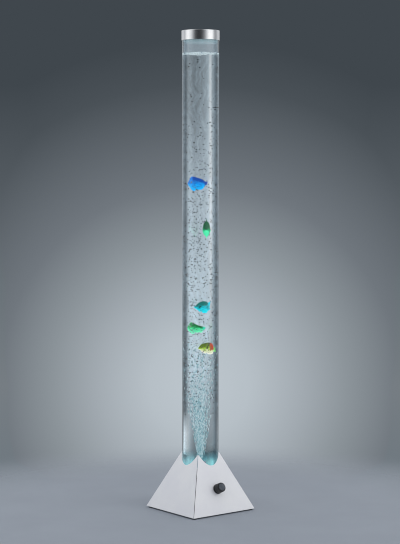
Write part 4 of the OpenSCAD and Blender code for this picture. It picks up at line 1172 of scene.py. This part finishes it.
rng = np.random.default_rng(12)
order = np.arange(TRIES)
side = (2 * ((order * STEP_ASIDE) % 1) - 1) * LOOSE_HALF + rng.uniform(-6, 6, TRIES)
near = rng.uniform(-1, 1, TRIES) * np.sqrt(np.clip(BUBBLE_R ** 2 - side ** 2, 0, None))
up = LOOSE_LOW + LOOSE_H * ((order * STEP_UP) % 1) + rng.uniform(-7, 7, TRIES)
keep = rng.uniform(0, 1, TRIES) < np.interp(up, DENSITY_AT, DENSITY)
keep &= outside_lanes(side, near, up) & (np.hypot(side, near) < BUBBLE_R)
side, near, up = side[keep][:KEPT], near[keep][:KEPT], up[keep][:KEPT]
dark = rng.uniform(0, 1, len(up)) < DARK_SHARE
grow = rng.uniform(0.55, 1.25, len(up))[:, None]
sizes = np.where(dark[:, None], [[1.15, 1.15, 1.25]], [[1.15, 1.15, 1.3]]) * grow
centres = viewer_place(side, near, up)
pale = ~dark
loose = [scatter(centres[dark], sizes[dark]), scatter(centres[pale], sizes[pale], look=1)]
make_bubbles("loose_bubbles", loose, "dark_bubble", "faint_bubble")

# %% [markdown]
# ## The stream from the stone
# Close over the stone the bubbles rise in wavy strands. Each strand is a path that starts on
# the stone and spreads with height, and long bubbles follow one another along it. Curves with
# a thickness would be simpler, but they look like threads and not like air.

# %% Stream
STRANDS, ROWS = 88, 46
SPREAD_AT = [120, 150, 200, 260, 330, 470]
HALF_WIDE = [3.4, 6.2, 12.0, 20.0, 28.0, 38.0]
PALE_SHARE, STREAM_SHARE = 0.55, 0.66

start = np.clip(rng.normal(0, 0.55, (STRANDS, 1)), -1.15, 1.15)
depth = rng.uniform(-1, 1, (STRANDS, 1))
climb = np.linspace(0, 1, ROWS)[None, :]
top = rng.uniform(230, 470, (STRANDS, 1))
up = STONE_TOP + 1 + (top - STONE_TOP) * climb + rng.uniform(-2, 2, (STRANDS, ROWS))
half_wide = np.interp(up, SPREAD_AT, HALF_WIDE)
wave = rng.uniform(0, 2 * np.pi, (STRANDS, 1))
swing = (0.8 + 0.01 * (up - 120)) * np.sin(up / rng.uniform(4.5, 9.0, (STRANDS, 1)) + wave)
side = start * half_wide + swing + rng.normal(0, 0.5, up.shape)
near = depth * np.minimum(half_wide, 20) * np.sqrt(np.clip(1 - start ** 2, 0.05, 1)) - 1.0
up = np.maximum(up, STONE_TOP + 1.5)
climb_step = np.maximum(np.gradient(up, axis=1), 1)
slope = np.gradient(side, axis=1) / climb_step
side, near, up, slope = side.ravel(), near.ravel(), up.ravel(), slope.ravel()
inside = (np.hypot(side, near) < LOOSE_HALF) & outside_lanes(side, near, up, 4.0, 0.0)
lean = viewer_place(np.clip(slope, -0.8, 0.8), 0 * slope, up)[:, :2]
thin = rng.uniform(0.4, 0.72, len(up))
sizes = np.stack([thin, thin, rng.uniform(1.6, 3.6, len(up))], 1)
centres = viewer_place(side, near, up)
pale = rng.uniform(0, 1, len(up)) < PALE_SHARE
inside &= rng.uniform(0, 1, len(up)) < STREAM_SHARE
stream = [scatter(centres[some], sizes[some], lean[some], 6, look)
          for look, some in enumerate((inside & pale, inside & ~pale))]
make_bubbles("stream_bubbles", stream, "pale_bubble", "teal_bubble")

# %% [markdown]
# ## Foam
# Where the bubbles break, a thin ring of foam lies on the water along the wall. It is made of
# the same small balls, on a line with slow ripples: a plain torus would look like a gasket.

# %% Foam at the water line
FOAM_COUNT, FOAM_OUT = 420, 42.7
spin = rng.uniform(0, 2 * np.pi, FOAM_COUNT)
reach = 42.0 - 7 * rng.uniform(0, 1, FOAM_COUNT) ** 2
grow = rng.uniform(0.8, 1.9, FOAM_COUNT)
reach = np.minimum(reach, FOAM_OUT - grow)
ripple = WATER_TOP + 0.9 * np.sin(5 * spin) + 0.6 * np.sin(11 * spin + 1)
up = ripple + rng.uniform(-1.3, 1.3, FOAM_COUNT)
centres = np.stack([reach * np.cos(spin), reach * np.sin(spin), up], -1)
make_bubbles("water_line_foam", [scatter(centres, points_at(grow, grow, grow * 0.8))], "foam_bubble")

# %% [markdown]
# ## The control knob
# The knob is a turned shape whose grip has twenty flutes: the radius dips with the angle where
# the height is in the grip. In its end sits a grey disc with fine rings and a notch.
# Twenty cuts with a Boolean modifier would leave ragged faces, which a formula doesn't.

# %% Place and profile of the knob
KNOB_GAP, KNOB_L, KNOB_R = 0.8, 20.0, 12.5
SOCKET_R, SOCKET_TOP, COLLAR_R, DISC_SEAT = 3.0, 5.8, 7.6, 9.0
FLUTES, FLUTE_DEPTH = 20, 0.75
end = KNOB_GAP + KNOB_L


def face_frame(side, x, up):
    """The frame of a point on a tilted face: X along the face, Z straight out of it."""
    half = BASE_HALF * (1 - (up - FOOT_H) / SHELL_RISE)
    return shift(x, side * half, up) @ turn_about("X", -side * (math.pi / 2 - LEAN))


knob_frame = face_frame(-1, KNOB_SIDE, KNOB_UP)
knob_profile = round_corners([
    (SOCKET_R, SOCKET_TOP), (COLLAR_R, SOCKET_TOP), (COLLAR_R, KNOB_GAP),
    (KNOB_R - 0.6, KNOB_GAP), (KNOB_R, KNOB_GAP + 0.6), (KNOB_R, KNOB_GAP + 3),
    (KNOB_R - 1.1, KNOB_GAP + 4.2), (KNOB_R - 1.1, KNOB_GAP + 6), (KNOB_R - 0.4, KNOB_GAP + 7.2),
    (KNOB_R - 0.7, end - 1.2), (KNOB_R - 1.9, end), (DISC_SEAT, end), (DISC_SEAT, end - 0.8),
    (SOCKET_R, end - 0.8)], [0, 0.3, 0.3, 0.2, 0.2, 0.4, 0.5, 0.5, 0.5, 0.8, 0.7, 0.2, 0.1, 0], loop=False)
print("knob stands out", round(end, 2), "mm from the face")

# %% Knob and disc
def fluted(profile, first):
    """Radius r(h) - depth * sin-shaped groove for heights past first, and a plain turn below."""
    a = full_turn(400)
    r, h = profile[:, :1], profile[:, 1:]
    share = np.clip((h - first) / 1.2, 0, 1) * np.clip((r - 9.3) / 0.8, 0, 1)
    cut = FLUTE_DEPTH * np.clip(np.cos(FLUTES * a), 0, 1) ** 1.5 * share
    points = points_at((r - cut) * np.cos(a), (r - cut) * np.sin(a), h)
    uv = points_at(a / (2 * np.pi) + 0 * r, h / 100)
    return part(points, grid_faces(*points.shape[:2], False, True), uv)


grip = np.linspace(KNOB_GAP + 7.8, end - 2.2, 12)
grip_r = np.interp(grip, [KNOB_GAP + 7.2, end - 1.2], [KNOB_R - 0.4, KNOB_R - 0.7])
at = int(np.argmax(knob_profile[:, 1] > KNOB_GAP + 7.9))
closed = [knob_profile[:at], points_at(grip_r, grip), knob_profile[at:], [(SOCKET_R, SOCKET_TOP)]]
knob = moved(fluted(np.concatenate(closed), KNOB_GAP + 6.6), knob_frame)
make_piece("knob_body", [knob], "knob", "dimmer_knob", "knob_plastic", sharp=50)

a = full_turn(96)
ring_r = np.linspace(0, 8.4, 43)
r = np.concatenate([ring_r, [8.7, 8.85, 8.9, 8.9, 8.9, 0.0]])[:, None]
h = np.concatenate([0.4 + 0.06 * np.sin(ring_r * 6), [0.36, 0.25, 0.1, -0.4, -0.78, -0.78]])[:, None]
x, y = r * np.cos(a), r * np.sin(a)
notch = (np.abs(x) < 0.85) & (y > 3.0) & (h > 0.05)
disc = part(points_at(x, y, np.where(notch, 0.05, h) + end), grid_faces(*x.shape, False, True))
make_piece("knob_end_disc", [moved(disc, knob_frame)], "knob", "knob_insert", "knob_disc", sharp=35)

# %% [markdown]
# ## Feet, screws and air stone
# Small pieces get their own rounding too: rubber feet with a soft rim and a dished underside,
# pan head screws with a cross recess, and a rough porous stone. They are turned like the
# larger pieces, and a formula then presses the cross in or roughens the stone.

# %% Feet
FOOT_IN, FOOT_R = 11, 8.0
foot_corners = [(0, 0.7), (2.6, 0.7), (3.4, 0.0), (7.2, 0.0), (FOOT_R, FOOT_H), (0, FOOT_H)]
foot = turned(round_corners(foot_corners, [0, 0.3, 0.3, 0.5, 0.05, 0], loop=False), False, 64)
corner = BASE_HALF - FOOT_IN
feet = [moved(foot, shift(x * corner, y * corner, 0)) for x in (-1, 1) for y in (-1, 1)]
make_piece("soft_feet", feet, "base", "rubber_feet", "black_rubber")

# %% Screws
HEAD_H, HEAD_R, CORE_R, THREAD_R = FOOT_H * 0.55, 2.7, 1.38, 1.5
SCREW_AT, CROSS_HALF, CROSS_DEPTH = 60.0, 0.38, 0.7
head_r = [0, 0.3, 0.6, 0.9, 1.2, 1.5, 1.8, 2.1, 2.4, 2.6, HEAD_R, HEAD_R, THREAD_R]
thread_r = [THREAD_R] + [CORE_R, THREAD_R] * 3 + [1.2, 0]
r = np.array(head_r + thread_r)[:, None]
dome = [0, 0, 0.01, 0.03, 0.06, 0.1, 0.16, 0.25, 0.4, 0.62, 0.9, HEAD_H, HEAD_H]
thread = [2.2, 2.5, 2.8, 3.1, 3.4, 3.7, 4.4, 5.65, 5.7]
up = np.array(dome + thread)[:, None]
a = full_turn(64)
x, y = r * np.cos(a), r * np.sin(a)
on_dome = (r < 1.75) * (np.arange(len(r))[:, None] < 8)
cross = np.clip(1 - np.minimum(np.abs(x), np.abs(y)) / CROSS_HALF, 0, 1) * on_dome
z = FOOT_H - HEAD_H + up + CROSS_DEPTH * np.minimum(cross * 2, 1)
screw = part(points_at(x, y, z), grid_faces(*x.shape, False, True))
screws = [moved(screw, turn_about("Z", quarter * math.pi / 2) @ shift(at, BASE_HALF - FLANGE_W / 2, 0))
          for quarter in range(4) for at in (-SCREW_AT, SCREW_AT)]
make_piece("pan_screws", screws, "base", "base_screws", "turned_steel", sharp=35)

# %% Air stone
STONE_R, STONE_H, STEM_R = 11.0, 14, 1.4
stone_low = STONE_TOP - STONE_H
stone_corners = [(0, stone_low), (STONE_R, stone_low), (STONE_R, STONE_TOP), (0, STONE_TOP)]
profile = round_corners(stone_corners, [0, 2.4, 2.4, 0], loop=False, steps=8)
wall = points_at(STONE_R, np.linspace(stone_low + 3, STONE_TOP - 3, 14))
crown = points_at(np.linspace(8, 0, 12), STONE_TOP)
split = int(np.argmax(profile[:, 1] > stone_low + 7))
profile = np.concatenate([profile[:split], wall, profile[split:-1], crown])
points, faces, uv, _ = turned(profile, False, 110)
x, y, z = points.T
rough = 0.16 * np.sin(x * 5.1 + z * 3.7) * np.sin(y * 4.3 - z * 2.9)
rough = rough + 0.1 * np.sin(x * 11 + 1) * np.sin(y * 9.7 + z * 8.3)
stone = part(points * points_at(1 + rough / STONE_R, 1 + rough / STONE_R, 1), faces, uv)
stem_low, stem_top = stone_low - 5, stone_low + 1
stem_corners = [(0, stem_low), (STEM_R, stem_low), (STEM_R, stem_top), (0, stem_top)]
stem = turned(round_corners(stem_corners, [0, 0.2, 0.1, 0], loop=False), False, 32)
make_piece("porous_stone", [stone, stem], "base", "air_stone", "stone", sharp=60)

# %% [markdown]
# ## Floor and studio
# The lamp stands on a plain pale floor. Round it the studio is only a world of light: the
# camera sees a plain grey that grows paler towards the floor, matt surfaces get an even soft
# light, and metal and glass see soft boxes and dark gaps, as in a real photo studio.
# Real walls and cards would have to be seen by some rays and hidden from others, so they are
# left out. The floor fades out some way from the lamp, so that no edge shows.

# %% Floor
FLOOR_R, FADE_FROM, FADE_TO = 1000, 0.42, 0.95


def studio_floor():
    tree, shader = new_finish("studio_floor")
    set_sockets(tree, shader, {
        "Base Color": mottled(tree, (144, 150, 159), (141, 147, 156), 6),
        "Roughness": 0.75, "Specular IOR Level": 0.2})
    distance = put(tree, "VectorMath", {0: object_place(tree)}, operation="LENGTH").outputs["Value"]
    mix_with_clear(tree, shader, spread(tree, distance, FADE_FROM, FADE_TO, smooth=True))


studio_floor()
a = full_turn(96)
r = np.linspace(0, FLOOR_R, 9)[:, None]
disc = part(points_at(r * np.cos(a), r * np.sin(a), 0), grid_faces(9, 96, False, True))
floor_mesh = make_mesh("floor", [disc], [finishes["studio_floor"]])
floor_mesh.shade_flat()
if sum(p.normal.z * p.area for p in floor_mesh.polygons) < 0:
    floor_mesh.flip_normals()
new_object("floor", floor_mesh)
print("floor faces up:", floor_mesh.polygons[0].normal.z > 0)

# %% [markdown]
# ## A world of light
# Each direction out of the lamp has a height in degrees and a turn from the camera's line of
# sight. What is seen there depends on what looks: the camera, glass and water, a mirror, or a
# matt surface.

# %% What the camera sees
DEGREES = 180 / math.pi
HALO_DOWN = math.radians(7.9)


def backdrop(tree, way, height):
    """Grey by height, and paler round a point low behind the lamp."""
    heights = [(-12, (142, 151, 159)), (-10.5, (112, 121, 128)), (-7.9, (118, 125, 131)),
               (-4.4, (105, 114, 120)), (-0.9, (83, 90, 96)), (2.5, (64, 71, 77))]
    low, high = -12.0, 6.0
    stops = [((h - low) / (high - low), shade) for h, shade in heights]
    plain = ramp(tree, spread(tree, height, low, high), stops)
    centre = ahead * math.cos(HALO_DOWN) - Vector((0, 0, math.sin(HALO_DOWN)))
    away = times(tree, maths(tree, "ARCCOSINE", dot(tree, way, centre)), DEGREES)
    halo = ramp(tree, spread(tree, away, 0.0, 12.0), [
        (0.0, (189, 198, 205)), (0.145, (182, 191, 198)), (0.29, (163, 171, 178)),
        (0.42, (141, 149, 155)), (0.58, (112, 119, 126)), (0.87, (74, 81, 87)), (1.0, (64, 71, 77))])
    return blend_colours(tree, 1.0, plain, halo, "LIGHTEN")


print("the halo's middle is", round(HALO_DOWN * DEGREES, 1), "degrees below level")

# %% What is seen through glass and water
# Six levels of the studio: height, brightness above which a card is white, and the light by
# turn. A narrow box stands to the right, dark gaps on both sides, and a low white card to the
# left.
LEVELS = [
    (1.7, 0.42,
     [(-90, 0.25), (-52, 0.25), (-47, 0.2), (-41, 0.09), (-36, 0.07), (-32, 0.15), (-28, 0.23),
      (-25, 0.262), (-21.5, 0.27), (-19, 0.46), (-17, 0.6), (-15, 0.56), (-13, 0.42), (-11, 0.34),
      (-9, 0.295), (-6, 0.27), (-3, 0.245), (0, 0.235), (2, 0.215), (5, 0.19), (8, 0.17), (12, 0.175),
      (16, 0.19), (19, 0.22), (22, 0.21), (25, 0.17), (27, 0.12), (30, 0.08), (34, 0.08), (38, 0.13),
      (43, 0.18), (90, 0.17)]),
    (-1.8, 0.52,
     [(-90, 0.36), (-52, 0.31), (-48, 0.2), (-43, 0.075), (-36, 0.06), (-31.5, 0.21), (-28, 0.295),
      (-25, 0.34), (-21.5, 0.41), (-19, 0.64), (-17, 0.7), (-15, 0.6), (-13, 0.53), (-11, 0.515),
      (-9, 0.48), (-7, 0.45), (0, 0.43), (7, 0.43), (10, 0.44), (13, 0.475), (17, 0.47), (20, 0.445),
      (23, 0.39), (25, 0.32), (27, 0.25), (30, 0.13), (34, 0.105), (39, 0.15), (44, 0.19), (50, 0.24),
      (60, 0.36), (90, 0.36)]),
    (-7.4, 0.9,
     [(-90, 0.3), (-52, 0.12), (-43, 0.01), (-36, 0), (-31.5, 0.105), (-28, 0.215), (-24.5, 0.26),
      (-21.5, 0.265), (-19, 0.3), (-17, 0.34), (-15, 0.4), (-13, 0.43), (-11, 0.48), (-9, 0.54),
      (-4, 0.59), (0, 0.57), (5, 0.61), (8, 0.63), (12, 0.6), (16, 0.585), (18, 0.54), (20, 0.475),
      (23, 0.36), (26, 0.195), (30, 0.12), (34, 0.025), (39, 0), (44, 0.01), (50, 0.03), (60, 0.2),
      (90, 0.3)]),
    (-8.8, 0.9,
     [(-90, 0.25), (-52, 0.16), (-43, 0.08), (-36.5, 0.06), (-31.5, 0.2), (-28, 0.26), (-24.5, 0.26),
      (-21.5, 0.24), (-17, 0.26), (-13, 0.29), (-10, 0.32), (-6, 0.34), (0, 0.36), (4, 0.36),
      (10, 0.37), (14, 0.36), (18, 0.35), (20, 0.32), (23, 0.28), (26, 0.24), (29.5, 0.2), (34, 0.1),
      (39.5, 0.06), (44, 0.04), (50, 0.06), (60, 0.15), (90, 0.25)]),
    (-9.6, 0.45,
     [(-90, 0.2), (-52, 0.2), (-43, 0.16), (-36.5, 0.13), (-31.5, 0.27), (-28, 0.3), (-24.5, 0.28),
      (-21.5, 0.245), (-17, 0.235), (-13, 0.225), (-10, 0.22), (-6, 0.23), (0, 0.25), (4, 0.25),
      (10, 0.25), (14, 0.3), (18, 0.38), (20, 0.45), (23, 0.5), (26, 0.6), (29.5, 0.8), (34, 1),
      (39.5, 1.2), (43, 0.9), (47, 0.3), (50, 0.2), (60, 0.106), (90, 0.2)]),
    (-10.4, 0.4,
     [(-90, 0.2), (-52, 0.2), (-43, 0.14), (-36.5, 0.1), (-31.5, 0.2), (-28, 0.24), (-24.5, 0.24),
      (-17, 0.22), (-10, 0.2), (0, 0.24), (10, 0.22), (14, 0.24), (18, 0.34), (23, 0.46), (26, 0.6),
      (29.5, 0.8), (34, 1.1), (39.5, 1.7), (43, 1.7), (47, 0.9), (50, 0.4), (60, 0.15), (90, 0.2)]),
]


def by_turn(tree, turn, white_above, stops):
    """Half the light of each stop. The bright cards are white, the rest is blue grey."""
    items = []
    for t, v in stops:
        white = min(max((v - white_above) / 0.1, 0.0), 1.0)
        light = (v * (0.43 + 0.05 * white), v * (0.505 + 0.002 * white), v * (0.56 - 0.035 * white), 1.0)
        items.append(((t + 90) / 180, light))
    return ramp(tree, spread(tree, turn, -90.0, 90.0), items)


def seen_through(tree, height, turn):
    """A mix of the two nearest levels, and over them all ever dimmer with height."""
    light = by_turn(tree, turn, *LEVELS[0][1:])
    for (upper, *_), (lower, white_above, stops) in zip(LEVELS, LEVELS[1:]):
        share = spread(tree, height, upper, lower)
        light = blend_colours(tree, share, light, by_turn(tree, turn, white_above, stops))
    dim_top = spread(tree, height, LEVELS[0][0], 4.5, 2.05, 1.46)
    return blend_colours(tree, 1.0, light, dim_top, "MULTIPLY")


print("levels:", [level[0] for level in LEVELS])

# %% What metal mirrors
# Soft boxes and gaps by direction, from behind the camera
MIRROR = [
    (-180, 143), (-145, 195), (-128, 201), (-116, 178), (-105, 197), (-92, 248), (-76, 252), (-57, 210),
    (-44, 143), (-33, 82), (-22, 50), (-8, 40), (4, 53), (16, 92), (28, 145), (40, 210), (52, 255),
    (74, 255), (84, 204), (92, 157), (101, 145), (112, 160), (122, 191), (142, 193), (165, 143)]


def mirrored(tree, along, aside):
    """Grey by the turn from the camera's own side of the room, a little blue where it is dark."""
    behind = maths(tree, "ARCTAN2", aside, times(tree, along, -1.0))
    around = spread(tree, times(tree, behind, DEGREES), -180.0, 180.0)
    stops = []
    for t, v in MIRROR:
        green, blue = (0, 0) if v >= 240 else (2, 5)
        stops.append(((t + 180) / 360, (v, v + green, v + blue)))
    return ramp(tree, around, stops)


print("mirror stops:", len(MIRROR))


# %% The world
def studio_world():
    world = bpy.data.worlds.new("studio")
    world.use_nodes = True
    bpy.context.scene.world = world
    tree = world.node_tree
    tree.nodes.clear()
    way = put(tree, "TexCoord").outputs["Generated"]
    rise = maths(tree, "ARCSINE", put(tree, "SeparateXYZ", {0: way}).outputs[2])
    height = times(tree, rise, DEGREES)
    along, aside = dot(tree, way, ahead), dot(tree, way, across)
    turn = times(tree, maths(tree, "ARCTAN2", aside, along), DEGREES)
    rays = put(tree, "LightPath").outputs
    seen = colour(238, 241, 245)
    seen = blend_colours(tree, rays["Is Glossy Ray"], seen, mirrored(tree, along, aside))
    seen = blend_colours(tree, rays["Is Transmission Ray"], seen, seen_through(tree, height, turn))
    seen = blend_colours(tree, rays["Is Camera Ray"], seen, backdrop(tree, way, height))
    ground = put(tree, "Background", {"Color": seen, "Strength": 1.0}).outputs[0]
    tree.links.new(ground, put(tree, "OutputWorld").inputs["Surface"])
    print("world:", len(tree.nodes), "nodes")


studio_world()

# %% [markdown]
# ## Lamps and settings
# The world alone would light the lamp evenly from all sides. One large soft box in front and
# to the right gives shape and the shadow, and a weak cool one behind fills the dark side.

# %% Lamps
LOOK_AT = Vector((0, 0, 0.3))


def soft_box(name, place, size, power, shade):
    """A square lamp that looks at the lamp's base and is itself seen by nothing."""
    data = bpy.data.lights.new(name, "AREA")
    data.size, data.energy, data.color = size, power, shade
    box = new_object(name, data)
    box.location = place
    box.rotation_euler = (LOOK_AT - Vector(place)).to_track_quat("-Z", "Y").to_euler()
    box.visible_camera = box.visible_glossy = box.visible_transmission = False
    print("lamp:", name, power, "W")


soft_box("key", (1.6, -3.2, 2.4), 1.4, 33, (1.0, 0.992, 0.975))
soft_box("fill", (-1.3, 0.7, 1.0), 0.9, 2.4, (0.9, 0.96, 1.0))

# %% Settings
# Light crosses the wall, the water and the bubbles many times, so it may bounce often.
BOUNCES = 24
scene = bpy.context.scene
scene.view_settings.view_transform = "Standard"
scene.cycles.filter_width = 1.0
scene.cycles.max_bounces = BOUNCES
scene.cycles.transmission_bounces = BOUNCES
scene.cycles.transparent_max_bounces = BOUNCES
print("bounces:", scene.cycles.max_bounces)

# %% [markdown]
# ## Finishes on the carried-over pieces
# Every solid that keeps its own shape takes the finish of its slot in the record.

# %% Give each solid its finish
slot_of = {row["node"]: row["material_slot"] for row in frame["record"]["subparts"]}
for name, solid in nodes.items():
    solid.data.materials.clear()
    solid.data.materials.append(finishes[slot_of[name]])
print("finished", len(nodes), "solids")
